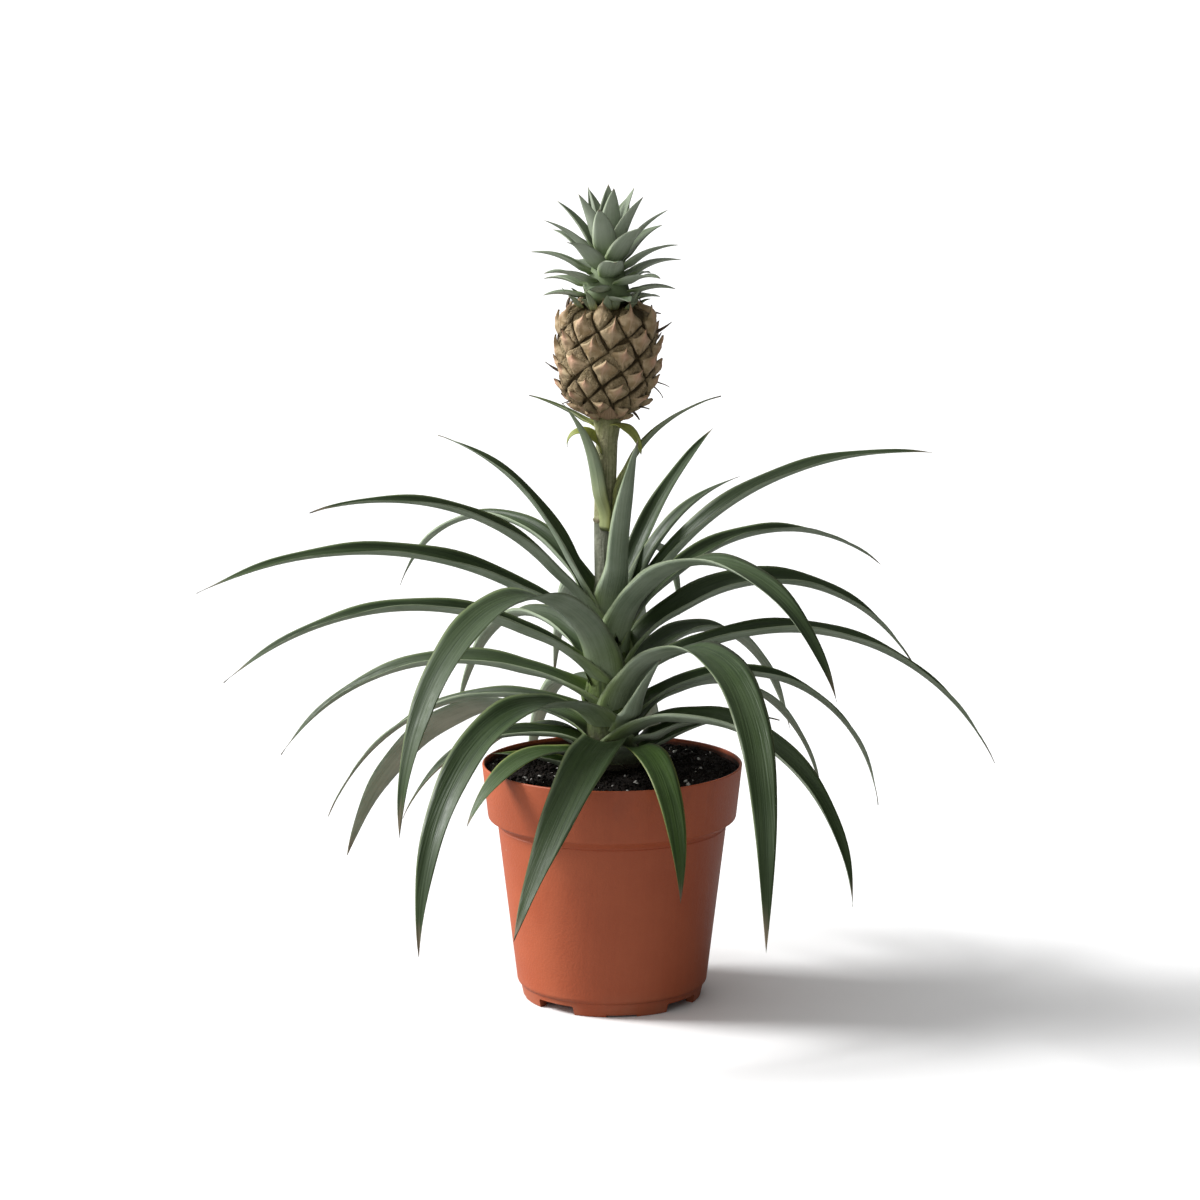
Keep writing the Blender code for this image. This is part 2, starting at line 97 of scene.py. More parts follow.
# %% Node helpers
class Flow:
    """A number on its way through a node tree."""

    def __init__(self, tree, socket):
        self.tree = tree
        self.socket = socket

    def maths(self, operation, *others):
        node = self.tree.nodes.new("ShaderNodeMath")
        node.operation = operation
        for socket, value in zip(node.inputs, (self, *others)):
            feed(self.tree, value, socket)
        return Flow(self.tree, node.outputs[0])

    def __add__(self, other):
        return self.maths("ADD", other)

    def __radd__(self, other):
        return self.maths("ADD", other)

    def __sub__(self, other):
        return self.maths("SUBTRACT", other)

    def __rsub__(self, other):
        return self.maths("MULTIPLY", -1.0).maths("ADD", other)

    def __mul__(self, other):
        return self.maths("MULTIPLY", other)

    def __rmul__(self, other):
        return self.maths("MULTIPLY", other)

    def __truediv__(self, other):
        return self.maths("DIVIDE", other)

    def __pow__(self, other):
        return self.maths("POWER", other)

    def sin(self):
        return self.maths("SINE")

    def cos(self):
        return self.maths("COSINE")

    def root(self):
        return self.maths("SQRT")

    def size(self):
        return self.maths("ABSOLUTE")

    def at_least(self, other):
        return self.maths("MAXIMUM", other)

    def at_most(self, other):
        return self.maths("MINIMUM", other)

    def above(self, other):
        return self.maths("GREATER_THAN", other)

    def between(self, low, high, start=0.0, end=1.0):
        """Goes smoothly from start to end while the number goes from low to high."""
        node = self.tree.nodes.new("ShaderNodeMapRange")
        node.interpolation_type = "SMOOTHSTEP"
        for socket, value in zip(node.inputs, (self, low, high, start, end)):
            feed(self.tree, value, socket)
        return Flow(self.tree, node.outputs[0])


def feed(tree, value, socket):
    """Link a flow or another node's output to a socket, or set the socket's own value."""
    if isinstance(value, Flow):
        value = value.socket
    if isinstance(value, bpy.types.NodeSocket):
        tree.links.new(value, socket)
    else:
        socket.default_value = value


def add_node(tree, kind, inputs=None, **options):
    node = tree.nodes.new(kind)
    for option, value in options.items():
        setattr(node, option, value)
    for socket, value in (inputs or {}).items():
        feed(tree, value, node.inputs[socket])
    return node


def split(tree, vector):
    node = add_node(tree, "ShaderNodeSeparateXYZ", {0: vector})
    return [Flow(tree, output) for output in node.outputs]


def join(tree, x, y, z):
    return add_node(tree, "ShaderNodeCombineXYZ", {0: x, 1: y, 2: z}).outputs[0]


print("node helpers ready")

# %% [markdown]
# Shapes made by a geometry tree are turned into plain meshes: the tree's inputs are set by their
# identifiers, the object is evaluated once, and the modifier is taken off again.

# %% Geometry tree helpers
def new_geometry_tree(name, inputs):
    """A geometry node group with named inputs. Returns the tree and its inputs by name."""
    tree = bpy.data.node_groups.new(name, "GeometryNodeTree")
    sockets = {"float": "NodeSocketFloat", "int": "NodeSocketInt", "material": "NodeSocketMaterial",
               "geometry": "NodeSocketGeometry", "collection": "NodeSocketCollection"}
    for label, kind in inputs.items():
        tree.interface.new_socket(name=label, in_out="INPUT", socket_type=sockets[kind])
    tree.interface.new_socket(name="Geometry", in_out="OUTPUT", socket_type="NodeSocketGeometry")
    entry = tree.nodes.new("NodeGroupInput")
    given = {}
    for label, kind in inputs.items():
        socket = entry.outputs[label]
        given[label] = Flow(tree, socket) if kind in ("float", "int") else socket
    return tree, given


def store(tree, geometry, name, value, kind="FLOAT", domain="POINT"):
    node = add_node(tree, "GeometryNodeStoreNamedAttribute", {"Geometry": geometry, "Name": name},
                    data_type=kind, domain=domain)
    feed(tree, value, node.inputs["Value"])
    return node.outputs[0]


def recall(tree, name, kind="FLOAT"):
    node = add_node(tree, "GeometryNodeInputNamedAttribute", {"Name": name}, data_type=kind)
    return node.outputs[0]


def finish_tree(tree, geometry, material, other_material, other_faces):
    """The common end of a tree: real geometry, smooth shading and the two materials."""
    real = add_node(tree, "GeometryNodeRealizeInstances", {0: geometry}).outputs[0]
    smooth = add_node(tree, "GeometryNodeSetShadeSmooth", {0: real}).outputs[0]
    first = add_node(tree, "GeometryNodeSetMaterial", {
        "Geometry": smooth, "Material": material}).outputs[0]
    both = add_node(tree, "GeometryNodeSetMaterial", {
        "Geometry": first, "Selection": other_faces, "Material": other_material}).outputs[0]
    tree.links.new(both, tree.nodes.new("NodeGroupOutput").inputs[0])


def grow(tree, name, values, mesh=None):
    """Run a geometry tree with these inputs and keep the result as an object's plain mesh."""
    thing = bpy.data.objects.new(name, mesh or bpy.data.meshes.new(name))
    scene.collection.objects.link(thing)
    modifier = thing.modifiers.new("grown", "NODES")
    modifier.node_group = tree
    for item in tree.interface.items_tree:
        if item.item_type == "SOCKET" and item.in_out == "INPUT" and item.name in values:
            modifier[item.identifier] = values[item.name]
    return bake(thing)


def bake(thing):
    """Replace an object's mesh by what its modifiers make, and take the modifiers off."""
    depsgraph = bpy.context.evaluated_depsgraph_get()
    made = bpy.data.meshes.new_from_object(
        thing.evaluated_get(depsgraph), preserve_all_data_layers=True, depsgraph=depsgraph)
    thing.modifiers.clear()
    thing.data = made
    made.name = thing.name
    while made.materials and made.materials[0] is None:
        made.materials.pop(index=0)
    return thing


def new_piece(name, bm, *materials):
    """An object at the origin from a bmesh, smooth shaded, in the scene."""
    mesh = bpy.data.meshes.new(name)
    bm.to_mesh(mesh)
    bm.free()
    mesh.shade_smooth()
    for material in materials:
        mesh.materials.append(material)
    thing = bpy.data.objects.new(name, mesh)
    scene.collection.objects.link(thing)
    return thing


def merge(name, things):
    """Join objects that sit at the origin into one piece."""
    bm = bmesh.new()
    materials = []
    for thing in things:
        before = len(bm.faces)
        bm.from_mesh(thing.data)
        bm.faces.ensure_lookup_table()
        own = list(thing.data.materials)
        for material in own:
            if material not in materials:
                materials.append(material)
        for face in bm.faces[before:]:
            face.material_index = materials.index(own[face.material_index])
        bpy.data.objects.remove(thing)
    return new_piece(name, bm, *materials)


def place(thing, slot, *nodes):
    """The piece belongs to the plant: it rides on the body and stands for its CAD nodes."""
    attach(thing, BODY)
    if nodes:
        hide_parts(*nodes)
    corners = [Vector(corner) for corner in thing.bound_box]
    sizes = [(max(c[i] for c in corners) - min(c[i] for c in corners)) / MM for i in range(3)]
    print(f"{thing.name}: {len(thing.data.polygons)} faces, "
          + " x ".join(f"{size:.1f}" for size in sizes) + " mm")


print("geometry helpers ready")

# %% [markdown]
# ## Shared effects
# Three effects come back in many finishes, so each is a shader group that puts out a mask:
# long stripes that follow a blade, soft mottling, and small scattered specks.

# %% Shader groups
def new_shader_group(name, inputs):
    group = bpy.data.node_groups.new(name, "ShaderNodeTree")
    for label, kind in inputs.items():
        group.interface.new_socket(name=label, in_out="INPUT", socket_type=kind)
    group.interface.new_socket(name="Mask", in_out="OUTPUT", socket_type="NodeSocketFloat")
    entry = group.nodes.new("NodeGroupInput")
    given = {label: Flow(group, entry.outputs[label]) for label in inputs}
    return group, given


def close_group(group, mask):
    feed(group, mask, group.nodes.new("NodeGroupOutput").inputs["Mask"])
    return group


def stripes_group():
    """Stripes along a blade: noise that is drawn out along the blade's own length."""
    group, given = new_shader_group("blade_stripes", {
        "Blade": "NodeSocketVector", "Stripe Width": "NodeSocketFloat",
        "Stripe Length": "NodeSocketFloat"})
    across, along, seed = split(group, given["Blade"])
    grain = add_node(group, "ShaderNodeTexNoise", {
        "Vector": join(group, across / given["Stripe Width"], along / given["Stripe Length"], seed),
        "Scale": 1.0, "Detail": 3.0, "Roughness": 0.6})
    return close_group(group, Flow(group, grain.outputs[0]).between(0.3, 0.7))


def mottle_group():
    """Soft uneven patches of a given size."""
    group, given = new_shader_group("mottle", {
        "Vector": "NodeSocketVector", "Patch Size": "NodeSocketFloat"})
    x, y, z = split(group, given["Vector"])
    size = given["Patch Size"]
    patches = add_node(group, "ShaderNodeTexNoise", {
        "Vector": join(group, x / size, y / size, z / size),
        "Scale": 1.0, "Detail": 4.0, "Roughness": 0.55})
    return close_group(group, Flow(group, patches.outputs[0]).between(0.32, 0.68))


def specks_group():
    """Small round specks, thinly scattered: dust, grit and pin marks."""
    group, given = new_shader_group("specks", {
        "Vector": "NodeSocketVector", "Spacing": "NodeSocketFloat", "Speck Size": "NodeSocketFloat"})
    x, y, z = split(group, given["Vector"])
    spacing = given["Spacing"]
    cells = add_node(group, "ShaderNodeTexVoronoi", {
        "Vector": join(group, x / spacing, y / spacing, z / spacing), "Scale": 1.0})
    inside = Flow(group, cells.outputs["Distance"]).between(
        given["Speck Size"] * 0.6, given["Speck Size"], 1.0, 0.0)
    chosen = split(group, cells.outputs["Color"])[0].above(0.55)
    return close_group(group, inside * chosen)


STRIPES = stripes_group()
MOTTLE = mottle_group()
SPECKS = specks_group()
print("shader groups:", STRIPES.name, MOTTLE.name, SPECKS.name)

# %% [markdown]
# A finish is one Principled shader. Numbers that are the same all over are set on the shader
# itself; only colour, roughness and relief come from the groups.

# %% Finish helpers
def new_finish(name, **constants):
    material = bpy.data.materials.new(name)
    material.use_nodes = True
    shader = material.node_tree.nodes["Principled BSDF"]
    for socket, value in constants.items():
        shader.inputs[socket.replace("_", " ")].default_value = value
    return material, material.node_tree, shader


def mask(tree, group, vector, *sizes):
    node = tree.nodes.new("ShaderNodeGroup")
    node.node_tree = group
    for socket, value in zip(node.inputs, (vector, *sizes)):
        feed(tree, value, socket)
    return Flow(tree, node.outputs[0])


def tint(tree, amount, colour, other):
    """The colour, going over to the other one by the amount."""
    node = add_node(tree, "ShaderNodeMix", data_type="RGBA")
    feed(tree, amount, node.inputs[0])
    for socket, value in ((node.inputs[6], colour), (node.inputs[7], other)):
        feed(tree, (*value, 1.0) if isinstance(value, tuple) else value, socket)
    return node.outputs[2]


def relief(tree, shader, height, depth):
    node = add_node(tree, "ShaderNodeBump", {"Strength": 1.0, "Distance": depth})
    feed(tree, height, node.inputs["Height"])
    feed(tree, node.outputs[0], shader.inputs["Normal"])


def object_place(tree):
    return tree.nodes.new("ShaderNodeTexCoord").outputs["Object"]


def attribute(tree, name):
    return Flow(tree, add_node(tree, "ShaderNodeAttribute", attribute_name=name).outputs["Fac"])


def blade_place(tree):
    """The blade's own coordinates: across and along it, in metres, and as shares."""
    blade = add_node(tree, "ShaderNodeAttribute", attribute_name="blade").outputs["Vector"]
    return blade, attribute(tree, "along"), attribute(tree, "across")


print("finish helpers ready")

# %% [markdown]
# ## Leaf finishes
# The upper face is deep green and slightly glossy, with faint stripes. The underside carries a
# pale waxy bloom between fine ribs. Both turn yellow-green at the foot, light along the margin
# and dry at the tip.

# %% Leaf finishes
TIP_BROWN = (0.20, 0.155, 0.105)
PAINTED_BASE_SHADE = (0.040, 0.032, 0.018)
BASE_SHADE_HEIGHTS = (106 * MM, 135 * MM)   # heights between which the painted shade at the leaves' feet fades out


def leaf_finish(name, dark, light, bloom, foot, margin, rib_width, rib_depth, roughness,
                bloom_amount, foot_reach=0.13):
    material, tree, shader = new_finish(name, Specular_IOR_Level=0.38)
    blade, along, across = blade_place(tree)
    here = object_place(tree)
    ribs = mask(tree, STRIPES, blade, rib_width, 50 * MM)
    bands = mask(tree, STRIPES, blade, 4.2 * rib_width, 160 * MM)
    patches = mask(tree, MOTTLE, here, 22 * MM)
    dust = mask(tree, MOTTLE, here, 7 * MM)
    colour = tint(tree, ribs * 0.45 + bands * 0.55, dark, light)
    colour = tint(tree, patches * bloom_amount + ribs * 0.12, colour, bloom)
    wing = across.size().between(0.35, 1.0, 0.4, 1.0)
    colour = tint(tree, along.between(0.0, foot_reach, 0.85, 0.0) * wing, colour, foot)
    # Painted shade: low on the plant the feet of the leaves turn dark brown, standing in for the
    # shade deep in the rosette.
    low = split(tree, here)[2].between(*BASE_SHADE_HEIGHTS, 1.0, 0.0)
    base_shade = low * along.between(0.0, 0.05, 1.0, 0.0)
    colour = tint(tree, base_shade * (0.55 + ribs * 0.3), colour, PAINTED_BASE_SHADE)
    edge = across.size().between(0.86, 0.97)
    colour = tint(tree, edge * 0.6, colour, margin)
    dry = (along + ribs * 0.03).between(0.93, 1.0)
    colour = tint(tree, dry * 0.85, colour, TIP_BROWN)
    feed(tree, colour, shader.inputs["Base Color"])
    feed(tree, dust * 0.10 + patches * 0.08 + dry * 0.2 + roughness, shader.inputs["Roughness"])
    relief(tree, shader, ribs * 0.7 + bands * 0.3, rib_depth)
    return material


LEAF_UPPER = leaf_finish(
    "leaf_upper", (0.014, 0.032, 0.007), (0.034, 0.064, 0.014), (0.075, 0.105, 0.048),
    (0.13, 0.20, 0.035), (0.20, 0.25, 0.11), 1.1 * MM, 0.18 * MM, 0.42, 0.18)
LEAF_UNDER = leaf_finish(
    "leaf_underside", (0.165, 0.220, 0.140), (0.295, 0.360, 0.245), (0.44, 0.50, 0.39),
    (0.20, 0.28, 0.075), (0.36, 0.43, 0.25), 0.7 * MM, 0.22 * MM, 0.50, 0.5)
print("leaf finishes:", LEAF_UPPER.name, LEAF_UNDER.name)

# %% [markdown]
# ## The strap leaf
# Every leaf follows one rule: it clasps the stem, leaves it at a steep slope and bends over
# steadily towards the tip, with its margins held up like a gutter. Geometry Nodes fit such a rule.
# A flat grid carries the shares along and across the blade. The midrib is the running sum of
# small steps whose slope changes along the way, and each cross-section is an arc on it. Two such
# sheets, an upper and a lower one, meet at the margins, so the blade is a closed solid that is
# thick in the middle and thin at the edge.

# %% Strap leaf tree
SHEATH_TURN = 10 * MM           # stretch over which the blade turns away from the stem
FLARE = 22 * MM                 # stretch over which the broad foot narrows to the blade
RIPPLE_LENGTH = 45 * MM         # from one wave of the margin to the next
ACROSS_STEPS = 8
WAIST = 0.72                    # width just above the foot, as a share of the widest part
DEGREE = math.radians(1)        # for angles inside a tree


def strap_leaf_tree():
    tree, given = new_geometry_tree("strap_leaf", {
        "Steps": "int", "Azimuth": "float", "Sway": "float", "Rise": "float", "Fall": "float",
        "Bend": "float", "Length": "float", "Width": "float", "Sheath": "float",
        "Foot X": "float", "Foot Y": "float", "Foot Z": "float", "Foot Curve": "float",
        "Foot Share": "float", "Gutter": "float", "Thickness": "float", "Twist": "float",
        "Wave": "float", "Seed": "float", "Hug": "float", "Upper": "material",
        "Under": "material"})
    rows = given["Steps"] + 1
    grid = add_node(tree, "GeometryNodeMeshGrid", {
        "Size X": 2.0, "Size Y": 1.0, "Vertices X": ACROSS_STEPS + 1, "Vertices Y": rows}).outputs[0]
    x, y, _ = split(tree, tree.nodes.new("GeometryNodeInputPosition").outputs[0])
    grid = store(tree, grid, "across", x)
    grid = store(tree, grid, "reach", y + 0.5)
    across = Flow(tree, recall(tree, "across"))
    reach = Flow(tree, recall(tree, "reach"))

    # Distance from the point where the blade leaves its sheath, and its share of the blade.
    sheath, length = given["Sheath"], given["Length"]
    whole = sheath + length
    gone = reach * whole - sheath
    along = (gone / length).at_least(0.0).at_most(1.0)
    grid = store(tree, grid, "along", along)
    along = Flow(tree, recall(tree, "along"))

    def slope_at(distance):
        share = (distance / length).at_least(0.0)
        slope = given["Rise"] + (given["Fall"] - given["Rise"]) * share ** given["Bend"]
        hug = distance.between(0.0, SHEATH_TURN, 1.0, 0.0) * given["Hug"]
        return (slope + (90.0 - slope) * hug) * DEGREE

    def turn_at(distance):
        share = (distance / length).at_least(0.0)
        return (given["Azimuth"] + given["Sway"] * share) * DEGREE

    # The midrib is summed up column by column, each step taken at its middle.
    stride = whole / given["Steps"]
    middle = gone - stride * 0.5
    started = reach.above(0.0001)
    level = slope_at(middle).cos() * stride * started
    step = join(tree, level * turn_at(middle).cos(), level * turn_at(middle).sin(),
                slope_at(middle).sin() * stride * started)
    index = Flow(tree, tree.nodes.new("GeometryNodeInputIndex").outputs[0])
    column = (index / rows).maths("FLOOR")
    walk = add_node(tree, "GeometryNodeAccumulateField", {0: step, 1: column},
                    data_type="FLOAT_VECTOR", domain="POINT").outputs[0]
    walk_x, walk_y, walk_z = split(tree, walk)

    # Where the sheath starts, so that the blade past its turn lies on the leaf's own midrib.
    rise = given["Rise"] * DEGREE
    heading = given["Azimuth"] * DEGREE
    hugs = given["Hug"]
    back = 0.5 * SHEATH_TURN * hugs
    out = rise.cos() * (back - sheath * (1.0 - hugs))
    mid_x = walk_x + given["Foot X"] + out * heading.cos()
    mid_y = walk_y + given["Foot Y"] + out * heading.sin()
    sunk = sheath * (hugs + rise.sin() * (1.0 - hugs))
    mid_z = walk_z + given["Foot Z"] - sunk - back * (1.0 - rise.sin())

    # Width: a waist above the foot, the widest part low down, and a long tip.
    shoulder = WAIST + (1 - WAIST) * (along.at_most(0.3) * (0.5 * math.pi / 0.3)).sin()
    profile = shoulder * (1.0 - along ** 2.3)
    flare = gone.between(-1.0 * sheath, FLARE, given["Foot Share"], 1.0)
    half = given["Width"] * 0.5 * profile * flare

    # Cross-section: an arc, as tight as the stem at the foot and shallower on the blade.
    foot_bend = given["Foot Curve"] ** -1.0
    gutter = given["Gutter"] * (1.0 - 0.3 * along)
    blade_bend = (gutter * 2.0 / half.at_least(0.5 * MM)).at_most(900.0)
    settle = gone.between(0.0, 0.22 * length)
    curve = foot_bend + (blade_bend - foot_bend) * settle
    angle = across * half * curve
    ripple = (along * length * (math.tau / RIPPLE_LENGTH) + given["Seed"] * 7.0 + across).sin()
    lift = ripple * given["Wave"] * across * across * along.between(0.05, 0.3)
    body = (1.0 - across * across).at_least(0.0).root()
    ends = reach.between(0.0, 0.03) * (1.0 - along ** 6.0).at_least(0.0).root()
    half_thick = given["Thickness"] * 0.5 * body * ends * (1.0 - 0.55 * along)

    slope, turn = slope_at(gone), turn_at(gone)
    side = (turn.sin() * -1.0, turn.cos())
    up = (slope.sin() * turn.cos() * -1.0, slope.sin() * turn.sin() * -1.0, slope.cos())
    twist = given["Twist"] * DEGREE * along.between(0.0, 0.35)
    # A folded blade carries its margins, not its midrib, on the leaf's line.
    drop = (1.0 - (half * curve).cos()) / curve * 0.85 * settle

    def sheet(sign):
        out_side = angle.sin() / curve - angle.sin() * half_thick * sign
        out_up = (1.0 - angle.cos()) / curve + angle.cos() * half_thick * sign + lift - drop
        sideways = out_side * twist.cos() - out_up * twist.sin()
        upwards = out_side * twist.sin() + out_up * twist.cos()
        place_of = join(tree, mid_x + side[0] * sideways + up[0] * upwards,
                        mid_y + side[1] * sideways + up[1] * upwards, mid_z + up[2] * upwards)
        return add_node(tree, "GeometryNodeSetPosition", {
            "Geometry": grid, "Position": place_of}).outputs[0]

    blade = join(tree, across * half, along * length, given["Seed"] * 10.0)
    upper = store(tree, sheet(1.0), "blade", blade, "FLOAT_VECTOR")
    under = store(tree, sheet(-1.0), "blade", blade, "FLOAT_VECTOR")
    under = store(tree, under, "underside", True, "BOOLEAN", "FACE")
    upper = add_node(tree, "GeometryNodeFlipFaces", {0: upper}).outputs[0]
    both = tree.nodes.new("GeometryNodeJoinGeometry")
    tree.links.new(upper, both.inputs[0])
    tree.links.new(under, both.inputs[0])
    whole_leaf = add_node(tree, "GeometryNodeMergeByDistance", {
        "Geometry": both.outputs[0], "Distance": 0.002 * MM}).outputs[0]
    is_under = recall(tree, "underside", "BOOLEAN")
    finish_tree(tree, whole_leaf, given["Upper"], given["Under"], is_under)
    return tree


STRAP_LEAF = strap_leaf_tree()
print("strap leaf tree:", len(STRAP_LEAF.nodes), "nodes")

# %% [markdown]
# ## Turned bodies
# The pot, the soil, the stem and the hearts of the fruit and crown are all round. Each is a grid
# rolled into a tube along its profile; the seam and the poles are merged so that it is closed.

# %% Turned bodies
def arc(centre, radius, start, end, count):
    """Points of a round corner in the profile plane, angles in degrees."""
    turns = [math.radians(start + (end - start) * step / count) for step in range(count + 1)]
    return [(centre[0] + radius * math.cos(t), centre[1] + radius * math.sin(t)) for t in turns]


def turned(profile, sides, moved=None):
    """A closed bmesh from a (radius, height) profile; moved(point) may shift each point."""
    bm = bmesh.new()
    rows = len(profile) - 1
    grid = bmesh.ops.create_grid(bm, x_segments=sides, y_segments=rows, size=0.5)["verts"]
    for vert in grid:
        angle = math.tau * (vert.co.x + 0.5)
        radius, height = profile[round((vert.co.y + 0.5) * rows)]
        point = Vector((radius * math.cos(angle), radius * math.sin(angle), height))
        vert.co = moved(point) if moved else point
    bmesh.ops.remove_doubles(bm, verts=bm.verts, dist=1e-6)
    bmesh.ops.recalc_face_normals(bm, faces=bm.faces)
    return bm


def refine(profile, longest):
    """The same profile with its long stretches divided."""
    fine = [profile[0]]
    for start, end in zip(profile, profile[1:]):
        parts = max(1, math.ceil(math.dist(start, end) / longest))
        for part in range(1, parts + 1):
            fine.append(tuple(a + (b - a) * part / parts for a, b in zip(start, end)))
    return fine


print("turned body helper ready")

# %% [markdown]
# ## Pot
# A thin plastic nursery pot comes out of a mould: a deep rim band for stacking, a step with a
# crease under it, a tapered wall and a foot ring with four notches that let water out. It is a
# turned shell, so the profile is drawn once and the notches and drain holes are cut from it.

# %% Pot sizes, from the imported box
pot_low, pot_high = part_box("pot")
RIM_RADIUS = pot_high.x
POT_HEIGHT = pot_high.z
WALL = 1.2 * MM
LIP = 0.6 * MM
BAND_FOOT = (57.2 * MM, POT_HEIGHT - 25.2 * MM)   # radius and height, as in the next two
BODY_TOP = (52.8 * MM, 82 * MM)
BODY_FOOT = (44.2 * MM, 9 * MM)
FOOT_RADIUS = 41 * MM
FOOT_WIDTH = 3.5 * MM
PLATE_UNDERSIDE = 4.4 * MM
PLATE_TOP = 6.0 * MM
BAND_SLOPE = (RIM_RADIUS - BAND_FOOT[0]) / (POT_HEIGHT - BAND_FOOT[1])
FOOT_CUTS = ((51, 20 * MM, 4.2 * MM), (96, 14 * MM, 1.0 * MM))   # heading, width and height
DRAIN_HOLES = 6
DRAIN_RADIUS = 5 * MM
DRAIN_RING = 24 * MM
print(f"pot: rim radius {RIM_RADIUS / MM:.1f} mm, height {POT_HEIGHT / MM:.1f} mm")

# %% Pot finish
def pot_finish():
    material, tree, shader = new_finish("pot_plastic", Specular_IOR_Level=0.42)
    here = object_place(tree)
    x, y, z = split(tree, here)
    clouds = mask(tree, MOTTLE, here, 40 * MM)
    grain = mask(tree, MOTTLE, here, 1.1 * MM)
    streaks = mask(tree, STRIPES, join(tree, x + y * 0.6, z, y), 4 * MM, 60 * MM)
    grit = mask(tree, SPECKS, here, 11 * MM, 0.055)
    patch_mask = mask(tree, MOTTLE, join(tree, x, y, z * 0.5), 18 * MM)
    colour = tint(tree, clouds * 0.55 + streaks * 0.2, (0.450, 0.096, 0.036), (0.52, 0.126, 0.051))
    # Random darker patches on the upper part of the pot.
    upper_dark_patches = patch_mask.between(0.80, 1.0) * z.between(70 * MM, POT_HEIGHT)
    colour = tint(tree, upper_dark_patches * 0.14, colour, (0.20, 0.07, 0.045))
    colour = tint(tree, grit * 0.8, colour, (0.78, 0.50, 0.38))
    foot_dust = z.between(0.0, 14 * MM, 1.0, 0.0) * patch_mask
    colour = tint(tree, foot_dust * 0.25, colour, (0.42, 0.26, 0.18))
    # Painted shade: from a little below its top up to the lip the inner wall is darkened to near
    # black, where it lies in shade.
    wall = (z - POT_HEIGHT) * BAND_SLOPE + RIM_RADIUS
    inside = (wall - (x * x + y * y).root()).between(0.5 * MM, 0.9 * MM)
    above = z.between(94 * MM, 96 * MM)
    below = z.between(POT_HEIGHT - 2.2 * MM, POT_HEIGHT - 0.8 * MM, 1.0, 0.0)
    inner_wall_shade = inside * above * below
    colour = tint(tree, inner_wall_shade * (0.75 + clouds * 0.25), colour, (0.014, 0.008, 0.006))
    feed(tree, colour, shader.inputs["Base Color"])
    feed(tree, clouds * 0.10 + grain * 0.08 + streaks * 0.05 + 0.36, shader.inputs["Roughness"])
    relief(tree, shader, grain * 0.6 + streaks * 0.4 + grit, 0.08 * MM)
    return material


POT_PLASTIC = pot_finish()
print("finish:", POT_PLASTIC.name)

# %% Pot body
# The crease under the rim band, from the top of the body: out and up in mm.
BAND_CREASE = ((1.2, 1.0), (0.35, 0.3), (-0.25, -0.3), (-0.25, -0.9), (0.0, -1.3))


def inner_radius(height):
    share = (height - BODY_FOOT[1]) / (BODY_TOP[1] - BODY_FOOT[1])
    return BODY_FOOT[0] + share * (BODY_TOP[0] - BODY_FOOT[0]) - WALL


def pot_profile():
    """From the middle of the plate up the inside, over the lip and down the outside."""
    corner = BODY_FOOT[0] - FOOT_RADIUS
    profile = [(0.0, PLATE_TOP), (inner_radius(PLATE_TOP) - 2 * MM, PLATE_TOP)]
    profile += [(inner_radius(BODY_FOOT[1]), BODY_FOOT[1]), (BODY_TOP[0] - WALL, BODY_TOP[1])]
    profile += [(BAND_FOOT[0] - WALL, BAND_FOOT[1] + WALL)]
    profile += arc((RIM_RADIUS - LIP, POT_HEIGHT - LIP), LIP, 180, 0, 8)
    profile += [(BAND_FOOT[0] + 0.25 * MM, BAND_FOOT[1] + 1.2 * MM)]
    profile += arc((BAND_FOOT[0] - 0.7 * MM, BAND_FOOT[1] + 0.7 * MM), 0.8 * MM, 0, -70, 5)
    profile += [(BODY_TOP[0] + out * MM, BODY_TOP[1] + up * MM) for out, up in BAND_CREASE]
    profile += arc((FOOT_RADIUS, BODY_FOOT[1]), corner, 0, -60, 8)
    profile += [(FOOT_RADIUS + 0.3 * MM, 0.4 * MM), (FOOT_RADIUS - 0.1 * MM, 0.0)]
    profile += [(FOOT_RADIUS - FOOT_WIDTH, 0.0)]
    profile += [(FOOT_RADIUS - FOOT_WIDTH - 1 * MM, PLATE_UNDERSIDE), (0.0, PLATE_UNDERSIDE)]
    return profile


def pot_cutters():
    """Four foot notches, shallow hollows between them and a ring of drain holes."""
    bm = bmesh.new()
    for quarter in range(4):
        for angle, width, height in FOOT_CUTS:
            block = bmesh.ops.create_cube(bm, size=1.0)["verts"]
            bmesh.ops.scale(bm, vec=Vector((3 * FOOT_WIDTH, width, 2 * height)), verts=block)
            bmesh.ops.translate(bm, vec=Vector((FOOT_RADIUS, 0.0, 0.0)), verts=block)
            turn = Matrix.Rotation(math.radians(angle + 90 * quarter), 3, "Z")
            bmesh.ops.rotate(bm, cent=Vector(), matrix=turn, verts=block)
    edges = [e for e in bm.edges if abs(e.verts[0].co.z - e.verts[1].co.z) < 1e-6
             and e.verts[0].co.z > 2 * MM]
    bmesh.ops.bevel(bm, geom=edges, offset=0.8 * MM, segments=3, profile=0.5, affect="EDGES")
    for index in range(DRAIN_HOLES):
        angle = math.tau * index / DRAIN_HOLES
        hole = bmesh.ops.create_cone(bm, cap_ends=True, segments=32, radius1=DRAIN_RADIUS,
                                     radius2=DRAIN_RADIUS, depth=6 * MM)["verts"]
        bmesh.ops.translate(bm, verts=hole, vec=Vector(
            (DRAIN_RING * math.cos(angle), DRAIN_RING * math.sin(angle), PLATE_TOP)))
    return new_piece("pot_cutters", bm)


